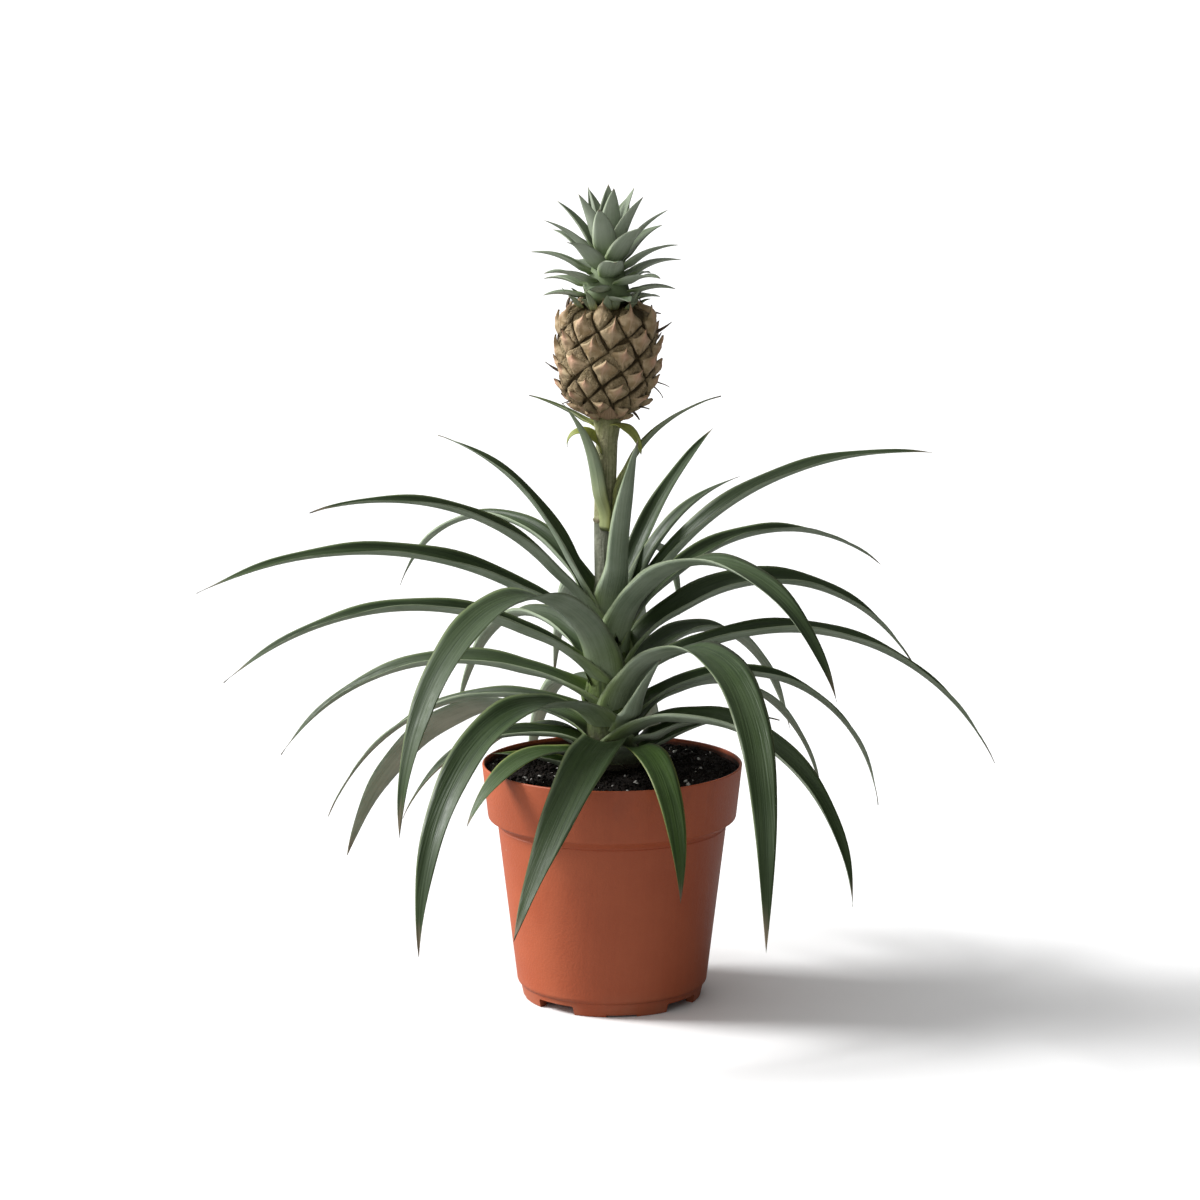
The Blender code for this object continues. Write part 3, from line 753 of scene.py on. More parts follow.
def build_pot():
    pot = new_piece("pot_shell", turned(refine(pot_profile(), 12 * MM), 180), POT_PLASTIC)
    cutters = pot_cutters()
    cut = pot.modifiers.new("cut", "BOOLEAN")
    cut.operation = "DIFFERENCE"
    cut.solver = "EXACT"
    cut.object = cutters
    bake(pot)
    bpy.data.objects.remove(cutters)
    pot.data.set_sharp_from_angle(angle=math.radians(32))
    place(pot, "pot_plastic", "pot")


build_pot()

# %% [markdown]
# ## Soil
# Potting soil is dark, fibrous and never level. Its body is turned like the pot's inside, and
# noise lifts its top. The crumbs and the white perlite grains are too many to place by hand, so a
# geometry tree scatters a few lumpy shapes over the top with a fixed seed.

# %% Soil finishes
def soil_finish():
    material, tree, shader = new_finish("potting_soil", Specular_IOR_Level=0.2)
    here = object_place(tree)
    clods = mask(tree, MOTTLE, here, 6 * MM)
    fibre = mask(tree, MOTTLE, here, 1.2 * MM)
    bits = mask(tree, SPECKS, here, 2.8 * MM, 0.16)
    colour = tint(tree, clods, (0.0025, 0.0016, 0.0012), (0.010, 0.0065, 0.0048))
    colour = tint(tree, fibre * 0.5, colour, (0.018, 0.011, 0.0075))
    colour = tint(tree, bits * 0.5, colour, (0.09, 0.055, 0.034))
    feed(tree, colour, shader.inputs["Base Color"])
    feed(tree, fibre * 0.1 + 0.82, shader.inputs["Roughness"])
    relief(tree, shader, clods * 0.5 + fibre * 0.5, 0.6 * MM)
    return material


def perlite_finish():
    material, tree, shader = new_finish("perlite", Specular_IOR_Level=0.3)
    here = object_place(tree)
    pores = mask(tree, MOTTLE, here, 0.6 * MM)
    colour = tint(tree, pores, (0.50, 0.47, 0.43), (0.80, 0.79, 0.76))
    feed(tree, colour, shader.inputs["Base Color"])
    feed(tree, pores * 0.1 + 0.75, shader.inputs["Roughness"])
    relief(tree, shader, pores, 0.2 * MM)
    return material


POTTING_SOIL = soil_finish()
PERLITE = perlite_finish()
print("finishes:", POTTING_SOIL.name, PERLITE.name)

# %% Soil body
soil_low, soil_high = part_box("soil")
SOIL_EDGE = soil_high.z + 0.6 * MM
SOIL_RADIUS = RIM_RADIUS - WALL - 1.1 * MM
SOIL_GAP = 0.7 * MM             # between the plug and the pot's wall


def soil_top(x, y):
    """Height of the soil's uneven top."""
    share = min(1.0, math.hypot(x, y) / SOIL_RADIUS)
    clods = noise.fractal(Vector((x, y, 0.0)) / (9 * MM), 0.8, 2.1, 4)
    slope = noise.noise(Vector((x, y, 5.0)) / (30 * MM))
    return SOIL_EDGE + 1.0 * MM * (1 - share**2) + (1.0 * clods + 0.9 * slope) * MM


def roughen(point):
    if point.z > SOIL_EDGE - 1 * MM:
        point.z = soil_top(point.x, point.y)
    return point


def build_soil():
    profile = refine([(0.0, SOIL_EDGE), (SOIL_RADIUS, SOIL_EDGE)], 1.3 * MM)
    profile += [(BAND_FOOT[0] - WALL - 0.4 * MM, BAND_FOOT[1] + WALL)]
    profile += [(BODY_TOP[0] - WALL - SOIL_GAP, BODY_TOP[1])]
    profile += [(inner_radius(BODY_FOOT[1]) - SOIL_GAP, BODY_FOOT[1])]
    profile += [(FOOT_RADIUS - 1 * MM, soil_low.z), (0.0, soil_low.z)]
    place(new_piece("soil_body", turned(profile, 150, roughen), POTTING_SOIL),
          "potting_soil", "soil")


build_soil()

# %% Soil crumbs and perlite
SHAPES_PER_KIND = 4
STEM_CLEAR = 12 * MM            # no grains are scattered this close to the stem's axis


def hide_in(collection, shape):
    """Keep a shape out of the scene, for a tree that places copies of it."""
    scene.collection.objects.unlink(shape)
    collection.objects.link(shape)


def drop_shapes(collection):
    """The copies are real by now, so their patterns go."""
    for shape in list(collection.objects):
        bpy.data.objects.remove(shape)
    bpy.data.collections.remove(collection)


def lump(name, seed, faces_level, collection):
    """A lumpy grain one unit across."""
    bm = bmesh.new()
    bmesh.ops.create_icosphere(bm, subdivisions=faces_level, radius=0.5)
    for vert in bm.verts:
        vert.co *= 1 + 0.55 * noise.noise(vert.co * 3.1 + Vector((seed, 0.0, 0.0)))
        vert.co.z *= 0.75
    hide_in(collection, new_piece(name, bm))


def scatter_tree():
    tree, given = new_geometry_tree("scattered_grains", {
        "Geometry": "geometry", "Crumbs": "collection", "Grains": "collection",
        "Crumb Density": "float", "Grain Density": "float", "Crumb Size": "float",
        "Grain Size": "float", "Seed": "int", "Soil": "material", "Perlite": "material"})

    def random_value(low, high, seed):
        node = add_node(tree, "FunctionNodeRandomValue", data_type="FLOAT")
        for socket, value in ((node.inputs[2], low), (node.inputs[3], high), (node.inputs[8], seed)):
            feed(tree, value, socket)
        return Flow(tree, node.outputs[1])

    def scattered(shapes, density, size, seed, is_perlite):
        points = add_node(tree, "GeometryNodeDistributePointsOnFaces", {
            "Mesh": given["Geometry"], "Density": density, "Seed": seed}).outputs[0]
        info = add_node(tree, "GeometryNodeCollectionInfo", {
            "Collection": shapes, "Separate Children": True, "Reset Children": True}).outputs[0]
        turn = join(tree, random_value(0.0, 6.3, seed + 1), random_value(0.0, 6.3, seed + 2),
                    random_value(0.0, 6.3, seed + 3))
        spread = random_value(0.0, 1.0, seed + 4) ** 2.0
        scale = size * (spread * 1.3 + 0.45)
        placed = add_node(tree, "GeometryNodeInstanceOnPoints", {
            "Points": points, "Instance": info, "Pick Instance": True, "Rotation": turn,
            "Instance Index": random_value(0.0, SHAPES_PER_KIND - 0.01, seed + 5).maths("FLOOR"),
            "Scale": join(tree, scale, scale, scale)}).outputs[0]
        return store(tree, placed, "perlite", is_perlite, "FLOAT", "INSTANCE")

    both = tree.nodes.new("GeometryNodeJoinGeometry")
    seed = given["Seed"]
    crumbs = scattered(given["Crumbs"], given["Crumb Density"], given["Crumb Size"], seed, 0.0)
    grains = scattered(given["Grains"], given["Grain Density"], given["Grain Size"], seed + 20, 1.0)
    tree.links.new(crumbs, both.inputs[0])
    tree.links.new(grains, both.inputs[0])
    white = Flow(tree, recall(tree, "perlite")).above(0.5)
    finish_tree(tree, both.outputs[0], given["Soil"], given["Perlite"], white)
    return tree


def build_grains():
    shapes = {}
    for kind, level in (("crumb", 1), ("grain", 2)):
        shapes[kind] = bpy.data.collections.new(kind + "_shapes")
        for index in range(SHAPES_PER_KIND):
            lump(f"{kind}_{index}", index * 4.7, level, shapes[kind])
    bm = bmesh.new()
    bmesh.ops.create_grid(bm, x_segments=60, y_segments=60, size=SOIL_RADIUS)
    edge = SOIL_RADIUS - 1 * MM
    outside = [v for v in bm.verts if not STEM_CLEAR < math.hypot(v.co.x, v.co.y) < edge]
    bmesh.ops.delete(bm, geom=outside, context="VERTS")
    for vert in bm.verts:
        vert.co.z = soil_top(vert.co.x, vert.co.y) + 0.1 * MM
    top = bpy.data.meshes.new("soil_top")
    bm.to_mesh(top)
    bm.free()
    grains = grow(scatter_tree(), "soil_grains", {
        "Crumbs": shapes["crumb"], "Grains": shapes["grain"], "Crumb Density": 330000.0,
        "Grain Density": 16000.0, "Crumb Size": 1.5 * MM, "Grain Size": 1.35 * MM, "Seed": 4,
        "Soil": POTTING_SOIL, "Perlite": PERLITE}, top)
    for collection in shapes.values():
        drop_shapes(collection)
    place(grains, "potting_soil")


build_grains()

# %% [markdown]
# ## Stem and peduncle
# A short thick stem carries the leaves. Above them it thins to the peduncle, the bare stalk that
# holds the fruit, with a scar ring where a bract grew. It leans a little, so its rings follow a
# curved axis, and faint ridges run up it.

# %% Stem sizes and its leaning axis
fruit_low, fruit_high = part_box("fruit")
FRUIT_FOOT = fruit_low.z
FRUIT_HEIGHT = fruit_high.z - fruit_low.z
FRUIT_AXIS = 0.5 * (fruit_low.x + fruit_high.x)
STEM_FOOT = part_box("stem")[0].z
STEM_LOW = 104 * MM
STEM_TOP = 184 * MM             # above this the stem thins to the peduncle
RING = 223 * MM                 # height of the scar ring
NECK = 259 * MM                 # above this the peduncle widens under the fruit
LEAN = 3.4 * MM
STEM_SECTIONS = (               # height and radius
    (STEM_FOOT, 13 * MM), (STEM_LOW, 13 * MM), (STEM_TOP, 7 * MM), (194 * MM, 5.1 * MM),
    (RING - 1.2 * MM, 4.9 * MM), (RING, 5.5 * MM), (RING + 1.2 * MM, 4.9 * MM),
    (NECK, 4.9 * MM), (FRUIT_FOOT - 0.3 * MM, 6.6 * MM))
print(f"fruit: foot {FRUIT_FOOT / MM:.1f} mm, height {FRUIT_HEIGHT / MM:.1f} mm,",
      f"axis {FRUIT_AXIS / MM:.1f} mm")

# %% Stem finish
def peduncle_finish():
    material, tree, shader = new_finish("peduncle", Specular_IOR_Level=0.35)
    here = object_place(tree)
    x, y, z = split(tree, here)
    streaks = mask(tree, STRIPES, join(tree, x * 1.5 + y, z, y * 0.4), 1.6 * MM, 18 * MM)
    patches = mask(tree, MOTTLE, join(tree, x, y, z * 0.6), 6 * MM)
    fine = mask(tree, MOTTLE, here, 1.2 * MM)
    tan = tint(tree, streaks, (0.27, 0.275, 0.13), (0.60, 0.57, 0.34))
    tan = tint(tree, patches * 0.5, tan, (0.24, 0.28, 0.12))
    grey = tint(tree, streaks, (0.150, 0.165, 0.115), (0.36, 0.37, 0.28))
    colour = tint(tree, z.between(RING - 2 * MM, RING + 1 * MM), grey, tan)
    yellow = z.between(NECK - 1 * MM, NECK + 11 * MM)
    colour = tint(tree, yellow * 0.6, colour, (0.21, 0.24, 0.07))
    scar = z.between(RING - 1.5 * MM, RING - 0.2 * MM)
    scar = scar * z.between(RING + 0.2 * MM, RING + 1.5 * MM, 1.0, 0.0)
    colour = tint(tree, scar * 0.7, colour, (0.10, 0.062, 0.038))
    colour = tint(tree, fine * 0.25, colour, (0.07, 0.055, 0.035))
    green = tint(tree, streaks, (0.050, 0.080, 0.020), (0.140, 0.190, 0.055))
    colour = tint(tree, z.between(STEM_TOP, STEM_TOP + 16 * MM, 1.0, 0.0), colour, green)
    # Painted shade: low down in the rosette the stem is darkened to the same brown as the leaves'
    # feet.
    colour = tint(tree, z.between(118 * MM, 134 * MM, 1.0, 0.0), colour, PAINTED_BASE_SHADE)
    feed(tree, colour, shader.inputs["Base Color"])
    feed(tree, fine * 0.15 + 0.48, shader.inputs["Roughness"])
    relief(tree, shader, streaks * 0.6 + fine * 0.4, 0.3 * MM)
    return material


PEDUNCLE = peduncle_finish()
print("finish:", PEDUNCLE.name)

# %% Stem
def stem_radius(height):
    for (low, low_radius), (high, high_radius) in zip(STEM_SECTIONS, STEM_SECTIONS[1:]):
        if height <= high:
            share = max(0.0, height - low) / (high - low)
            return low_radius + share * (high_radius - low_radius)
    return STEM_SECTIONS[-1][1]


def stem_centre_x(height):
    """The stem leans to the left and comes part of the way back under the fruit."""
    if height <= STEM_LOW:
        return 0.0
    share = min(1.0, (height - STEM_LOW) / (RING - STEM_LOW))
    lean = -LEAN * (3 * share**2 - 2 * share**3)
    if height > RING:
        back = (height - RING) / (FRUIT_FOOT - RING)
        lean += (FRUIT_AXIS + LEAN) * min(1.0, back)
    return lean


def ridge(point):
    """Shallow ridges up the stalk, and the lean of its axis."""
    angle = math.atan2(point.y, point.x)
    reach = math.hypot(point.x, point.y)
    if reach > 1e-6:
        folds = noise.noise(Vector((3 * math.cos(angle), 3 * math.sin(angle), point.z / (25 * MM))))
        point.x *= 1 + 0.05 * folds
        point.y *= 1 + 0.05 * folds
    point.x += stem_centre_x(point.z)
    return point


def build_stem():
    profile = [(0.0, FRUIT_FOOT)]
    profile += [(radius, height) for height, radius in reversed(STEM_SECTIONS)]
    profile += [(0.0, STEM_FOOT)]
    place(new_piece("stem_stalk", turned(refine(profile, 2.5 * MM), 48, ridge), PEDUNCLE),
          "peduncle", "stem")


build_stem()

# %% [markdown]
# ## Leaves
# The leaves spiral round the stem. Each row of the table is one leaf as it grows: where it stands
# and heads, how steeply it leaves the stem, how far it bends over, and its length and width. The
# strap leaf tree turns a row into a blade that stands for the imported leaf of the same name.

# %% Leaf table
# Angles in degrees, lengths in mm, heights above the floor.
COLUMNS = ("azimuth", "height", "rise", "fall", "bend", "length", "width", "sway")
LEAVES = {
    "leaf_01": (192, 108, 26, -4, 1.0, 45, 9, 0),
    "leaf_02": (218, 112, 45, -65, 0.8, 84, 19, 0),
    "leaf_03": (50, 110, 34, -30, 1.0, 78, 11, 0),
    "leaf_04": (25, 112, 35, -20, 1.0, 78, 9, 0),
    "leaf_05": (130, 112, 30, -45, 0.9, 90, 13, 0),
    "leaf_06": (291, 113, 60, -95, 0.7, 118, 16, -4),
    "leaf_07": (95, 116, 25, -62, 0.9, 110, 14, 0),
    "leaf_08": (172, 118, 34, -70, 0.8, 107, 12, 0),
    "leaf_09": (264, 119, 50, -62, 0.5, 154, 24, -30),
    "leaf_10": (340, 120, 42, -15, 1.0, 56, 12, 0),
    "leaf_11": (42, 126, 45, -75, 0.8, 162, 12, 0),
    "leaf_12": (160, 130, 36, -68, 0.75, 163, 12, 0),
    "leaf_13": (326, 124, 47, -88, 0.8, 166, 19, 0),
    "leaf_14": (306, 129, 66, 40, 1.0, 44, 10, 0),
    "leaf_15": (142, 122, 38, -70, 0.64, 196, 24, 0),
    "leaf_16": (80, 121, 32, -80, 0.9, 160, 16, 0),
    "leaf_17": (108, 132, 30, -80, 0.9, 160, 16, 0),
    "leaf_18": (231, 130, 48, -92, 0.8, 198, 22, 12),
    "leaf_19": (18, 132, 46, -85, 0.9, 165, 14, 0),
    "leaf_20": (92, 140, 35, -80, 0.9, 175, 17, 0),
    "leaf_21": (170, 140, 38, -58, 0.9, 168, 16, 0),
    "leaf_22": (309, 140, 71, -88, 0.7, 247, 22, -45),
    "leaf_23": (56, 145, 40, -70, 0.9, 185, 16, 0),
    "leaf_24": (13, 147, 42, -66, 0.9, 212, 17, 0),
    "leaf_25": (190, 152, 54, -42, 0.8, 186, 17, 0),
    "leaf_26": (118, 150, 42, -70, 0.9, 185, 17, 0),
    "leaf_27": (237, 156, 80, -88, 0.75, 226, 24, 0),
    "leaf_28": (22, 158, 64, -62, 0.8, 181, 20, 0),
    "leaf_29": (84, 155.5, 40, -75, 0.9, 197, 17, 0),
    "leaf_30": (100, 164, 42, -70, 0.9, 180, 17, 0),
    "leaf_31": (312, 168, 86, -68, 0.75, 182, 22, 0),
    "leaf_32": (193, 170, 50, -27, 0.85, 195, 17, 0),
    "leaf_33": (68, 176, 69, -88, 1.0, 122, 12, 0),
    "leaf_34": (40, 170, 56, -36, 0.8, 184, 15, 0),
    "leaf_35": (200, 175, 74, -16, 0.8, 159, 16, 0),
    "leaf_36": (3, 174, 75, -7, 0.8, 174, 16, 0),
    "leaf_37": (22, 180, 76, 12, 1.1, 88, 14, 0),
    "leaf_38": (138, 180, 70, -65, 0.9, 160, 14, 0),
    "leaf_39": (165, 185, 71, 12, 1.3, 109, 14, 0),
    "leaf_40": (50, 186, 64, 26, 1.0, 103, 13, 0),
    "leaf_41": (303, 186, 88, 64, 1.0, 80, 14, 0),
}
BRACTS = {
    "bract_1": (215, 223, 87, 44, 1.4, 62, 12, -10),
    "bract_2": (0, 233, 88, 12, 0.75, 71, 7, 0),
    "bract_3": (178, 256, 82, -105, 1.3, 25, 8, 0),
    "bract_4": (328, 267.5, 12, -88, 0.8, 21, 6, 0),
    "bract_5": (138, 265.5, 26, 16, 1.0, 36, 4, 44),
}
print(len(LEAVES), "leaves and", len(BRACTS), "bracts")

# %% Leaves
LEAF_FRESH = leaf_finish(
    "leaf_fresh", (0.018, 0.042, 0.007), (0.046, 0.092, 0.013), (0.08, 0.13, 0.036),
    (0.05, 0.09, 0.02), (0.38, 0.43, 0.12), 1.1 * MM, 0.18 * MM, 0.36, 0.22)
FRESH_LEAVES = ("leaf_01", "leaf_02", "leaf_06")
SHEATH = 10 * MM                # stretch of a leaf's foot that runs into the stem
LEAF_THICKNESS = 1.3 * MM
CLASP = 27 * MM                 # how far round the stem every foot reaches
GUTTER = 0.72                   # half the turn from margin to margin, in radians
WIDER = 1.07                    # a channelled blade is wider than it looks
ROLL = 12                       # degrees by which the side leaves roll over
UNEVEN_ROLL = 5                 # and by how much that differs from one leaf to the next
# Leaves that open out flatter or lie rolled another way: gutter, roll.
OPEN_LEAVES = {
    "leaf_02": (0.22, 0), "leaf_06": (0.25, 0), "leaf_09": (0.30, 0), "leaf_15": (0.15, 22),
    "leaf_16": (0.4, 0), "leaf_18": (0.45, -6), "leaf_20": (0.4, 0), "leaf_22": (0.34, 0),
    "leaf_27": (0.36, 0), "leaf_29": (0.4, 0), "leaf_31": (0.45, 0), "leaf_37": (0.6, 0),
    "leaf_39": (0.6, 0), "leaf_41": (0.55, 0)}


def strap_leaf(name, row, upper, under, start=None, steps=44, **changes):
    """Grow one blade from its row of the table. Changes name inputs of the tree, as Foot_Share."""
    leaf = dict(zip(COLUMNS, row))
    height = leaf["height"] * MM
    radius = stem_radius(height)
    azimuth = math.radians(leaf["azimuth"])
    stand_off = radius + 0.5 * MM
    if start is None:
        start = (stem_centre_x(height) + stand_off * math.cos(azimuth),
                 stand_off * math.sin(azimuth), height)
    values = {
        "Steps": steps, "Azimuth": leaf["azimuth"], "Sway": leaf["sway"], "Rise": leaf["rise"],
        "Fall": leaf["fall"], "Bend": leaf["bend"], "Length": leaf["length"] * MM,
        "Width": leaf["width"] * MM, "Sheath": SHEATH, "Foot X": start[0], "Foot Y": start[1],
        "Foot Z": start[2], "Foot Curve": stand_off + 3 * MM, "Foot Share": 1.2, "Gutter": GUTTER,
        "Thickness": LEAF_THICKNESS, "Twist": 0.0, "Wave": 0.35 * MM, "Seed": 0.0, "Hug": 0.0,
        "Upper": upper, "Under": under}
    values.update({label.replace("_", " "): value for label, value in changes.items()})
    values = {label: float(value) if isinstance(value, int) and label != "Steps" else value
              for label, value in values.items()}
    return grow(STRAP_LEAF, name, values)


def build_leaves():
    for index, (name, row) in enumerate(LEAVES.items()):
        azimuth, width = row[0], row[6]
        upper = LEAF_FRESH if name in FRESH_LEAVES else LEAF_UPPER
        own_roll = ROLL * math.cos(math.radians(azimuth)) + UNEVEN_ROLL * math.sin(2.4 * index)
        gutter, roll = OPEN_LEAVES.get(name, (GUTTER, own_roll))
        clasp = min(2.3, max(1.1, CLASP / (WAIST * width * MM)))
        blade = strap_leaf(name.replace("leaf", "blade"), row, upper, LEAF_UNDER, Twist=roll,
                           Width=width * WIDER * MM, Seed=index * 0.37, Gutter=gutter,
                           Foot_Share=clasp)
        place(blade, "leaf", name)


build_leaves()

# %% [markdown]
# ## Bracts
# Small leaves sit on the peduncle. Their feet are pale yellow-green and wrap the stalk before the
# blade turns away, so they grow from the same tree with a longer wrapped foot.

# %% Bracts
BRACT_UPPER = leaf_finish(
    "bract_upper", (0.060, 0.090, 0.028), (0.115, 0.160, 0.050), (0.19, 0.23, 0.12),
    (0.40, 0.43, 0.085), (0.36, 0.40, 0.15), 0.9 * MM, 0.15 * MM, 0.42, 0.3, 0.45)
BRACT_UNDER = leaf_finish(
    "bract_underside", (0.145, 0.190, 0.105), (0.235, 0.285, 0.170), (0.34, 0.39, 0.27),
    (0.46, 0.48, 0.13), (0.40, 0.44, 0.20), 0.7 * MM, 0.18 * MM, 0.48, 0.4, 0.45)
BRACT_YELLOW = leaf_finish(
    "bract_yellow", (0.14, 0.17, 0.022), (0.30, 0.34, 0.050), (0.34, 0.38, 0.14),
    (0.46, 0.48, 0.13), (0.40, 0.42, 0.12), 0.7 * MM, 0.18 * MM, 0.45, 0.35, 0.45)
# Sheath length, foot share, width share, gutter, and how far the foot is turned round the stalk.
BRACT_SHAPES = {
    "bract_1": (4, 0.95, 1.2, 0.55, 46), "bract_2": (12, 2.2, 1.25, 0.8, 0),
    "bract_3": (2, 1.2, 0.85, 0.4, 60), "bract_4": (2, 1.1, 0.95, 0.3, -25),
    "bract_5": (2, 1.2, 1.5, 0.5, 0)}
BRACT_ROLL = {"bract_3": -35, "bract_4": 25}   # the two yellow ones, rolled over
BRACT_THICKNESS = 0.9 * MM


def build_bracts():
    for index, (name, row) in enumerate(BRACTS.items()):
        sheath, share, wider, gutter, turned_by = BRACT_SHAPES[name]
        azimuth, height, width = row[0], row[1] * MM, row[6] * wider * MM
        turn = math.radians(azimuth + turned_by)
        away = stem_radius(height) + 0.7 * MM
        start = (stem_centre_x(height) + away * math.cos(turn), away * math.sin(turn), height)
        finishes = (BRACT_YELLOW,) * 2 if name in BRACT_ROLL else (BRACT_UPPER, BRACT_UNDER)
        blade = strap_leaf(name.replace("bract", "bract_blade"), row, *finishes, start, steps=30,
                           Sheath=sheath * MM, Gutter=gutter, Seed=3.0 + index,
                           Hug=float(sheath > 3), Twist=BRACT_ROLL.get(name, 0),
                           Width=width, Thickness=BRACT_THICKNESS,
                           Foot_Share=share, Foot_Curve=away + 0.6 * MM)
        place(blade, "bract", name)


build_bracts()

# %% [markdown]
# ## Fruit
# A pineapple is many small fruitlets grown together in crossing spirals. Each one turns by the
# same angle from the last and climbs by the same step, which is a rule that a geometry tree can
# follow. One fruitlet, an eye and the keeled bract below it, is modelled laid out flat. The tree
# lays copies out on the spiral lattice, still flat, and then wraps the sheet round the barrel.

# %% Fruit finishes
def rind_finish():
    material, tree, shader = new_finish("fruit_rind", Specular_IOR_Level=0.3)
    here = object_place(tree)
    depth = attribute(tree, "crest")
    eye = attribute(tree, "eye")
    patches = mask(tree, MOTTLE, here, 4.5 * MM)
    fine = mask(tree, MOTTLE, here, 0.9 * MM)
    colour = tint(tree, patches, (0.26, 0.190, 0.095), (0.54, 0.405, 0.240))
    colour = tint(tree, eye * 0.4, colour, (0.285, 0.235, 0.115))
    colour = tint(tree, fine * 0.35, colour, (0.13, 0.085, 0.040))
    # Painted shade: the rind darkens deep in the crevices between the fruitlets.
    colour = tint(tree, depth.between(0.25, 0.85, 1.0, 0.0), colour, (0.095, 0.066, 0.025))
    feed(tree, colour, shader.inputs["Base Color"])
    feed(tree, fine * 0.15 + 0.55, shader.inputs["Roughness"])
    relief(tree, shader, patches * 0.4 + fine * 0.6, 0.9 * MM)
    return material


def scale_finish():
    """The papery bract under each eye."""
    material, tree, shader = new_finish("fruit_bract", Specular_IOR_Level=0.25)
    blade, along, across = blade_place(tree)
    here = object_place(tree)
    eye = attribute(tree, "eye")
    streaks = mask(tree, STRIPES, blade, 0.9 * MM, 6 * MM)
    patches = mask(tree, MOTTLE, here, 4 * MM)
    colour = tint(tree, patches, (0.34, 0.240, 0.120), (0.66, 0.500, 0.320))
    keel = across.size().between(0.0, 0.6, 1.0, 0.0)
    colour = tint(tree, along.between(0.3, 0.8) * keel * 0.85, colour, (0.74, 0.400, 0.280))
    colour = tint(tree, streaks * 0.4, colour, (0.17, 0.105, 0.050))
    # Painted shade: the bract darkens along its margin, where it meets the eye.
    colour = tint(tree, across.size().between(0.82, 1.0) * 0.55, colour, (0.10, 0.065, 0.028))
    crest = across.size().between(0.0, 0.14, 1.0, 0.0)
    colour = tint(tree, crest * 0.35, colour, (0.74, 0.52, 0.37))
    colour = tint(tree, along.between(0.0, 0.22, 0.55, 0.0), colour, (0.16, 0.14, 0.05))
    colour = tint(tree, eye * patches * 0.35, colour, (0.21, 0.20, 0.095))
    colour = tint(tree, along.between(0.92, 1.0) * 0.7, colour, (0.17, 0.10, 0.07))
    feed(tree, colour, shader.inputs["Base Color"])
    feed(tree, patches * 0.15 + 0.55, shader.inputs["Roughness"])
    relief(tree, shader, streaks * 0.6 + patches * 0.4, 0.7 * MM)
    return material


FRUIT_RIND = rind_finish()
FRUIT_BRACT = scale_finish()
print("finishes:", FRUIT_RIND.name, FRUIT_BRACT.name)

# %% Fruitlet lattice
FRUITLET_TURN = -99.5           # from one fruitlet to the next, in degrees
FRUITLET_START = -25.0          # heading of the lowest one
FRUITLET_COUNT = 58
FRUIT_RADIUS = 22.2 * MM
BARREL_FOOT = 2.7              # how suddenly the barrel closes at its foot and at its top
BARREL_TOP = 8.0
BARREL_CLOSE = 0.92             # and how far, 1 being to a point
CREVICE = 1.7 * MM              # depth of the groove between two fruitlets


def lattice_step(count):
    """Flat distance round and up the fruit from one fruitlet to the one this many later."""
    turn = (count * FRUITLET_TURN + 180) % 360 - 180
    return Vector((math.radians(turn) * FRUIT_RADIUS, count * FRUIT_HEIGHT / FRUITLET_COUNT, 0.0))


SPIRAL_RIGHT = lattice_step(7)
SPIRAL_LEFT = lattice_step(11)
print("spirals:", [f"({v.x / MM:.1f}, {v.y / MM:.1f}) mm" for v in (SPIRAL_RIGHT, SPIRAL_LEFT)])

# %% One fruitlet, laid out flat
LAYERS = ("along", "across", "crest", "bract", "beyond")


def add_eye(bm, layers, seed):
    """A rhombic cushion that fills one cell of the lattice, closed underneath."""
    grid = bmesh.ops.create_grid(bm, x_segments=16, y_segments=16, size=1.0)["verts"]
    for vert in grid:
        s, t = vert.co.x, vert.co.y
        cushion = (max(0.0, 1 - abs(s) ** 6.0) * max(0.0, 1 - abs(t) ** 6.0)) ** 0.5
        dimple = 0.6 * MM * math.exp(-((s - 0.1) ** 2 + (t - 0.15) ** 2) / 0.04)
        wrinkle = 0.8 * MM * noise.noise(Vector((2.2 * s, 2.2 * t, seed)))
        vert[layers["crest"]] = cushion
        vert.co = (s * SPIRAL_RIGHT + t * SPIRAL_LEFT) * 0.5
        vert.co.z = (cushion - 1) * CREVICE + (wrinkle - dimple) * cushion
    rim = [e for e in bm.edges if e.is_boundary]
    skirt = bmesh.ops.extrude_edge_only(bm, edges=rim)["geom"]
    for vert in (item for item in skirt if isinstance(item, bmesh.types.BMVert)):
        vert.co.z = -CREVICE - 1.5 * MM
    bmesh.ops.holes_fill(bm, edges=[e for e in bm.edges if e.is_boundary], sides=0)


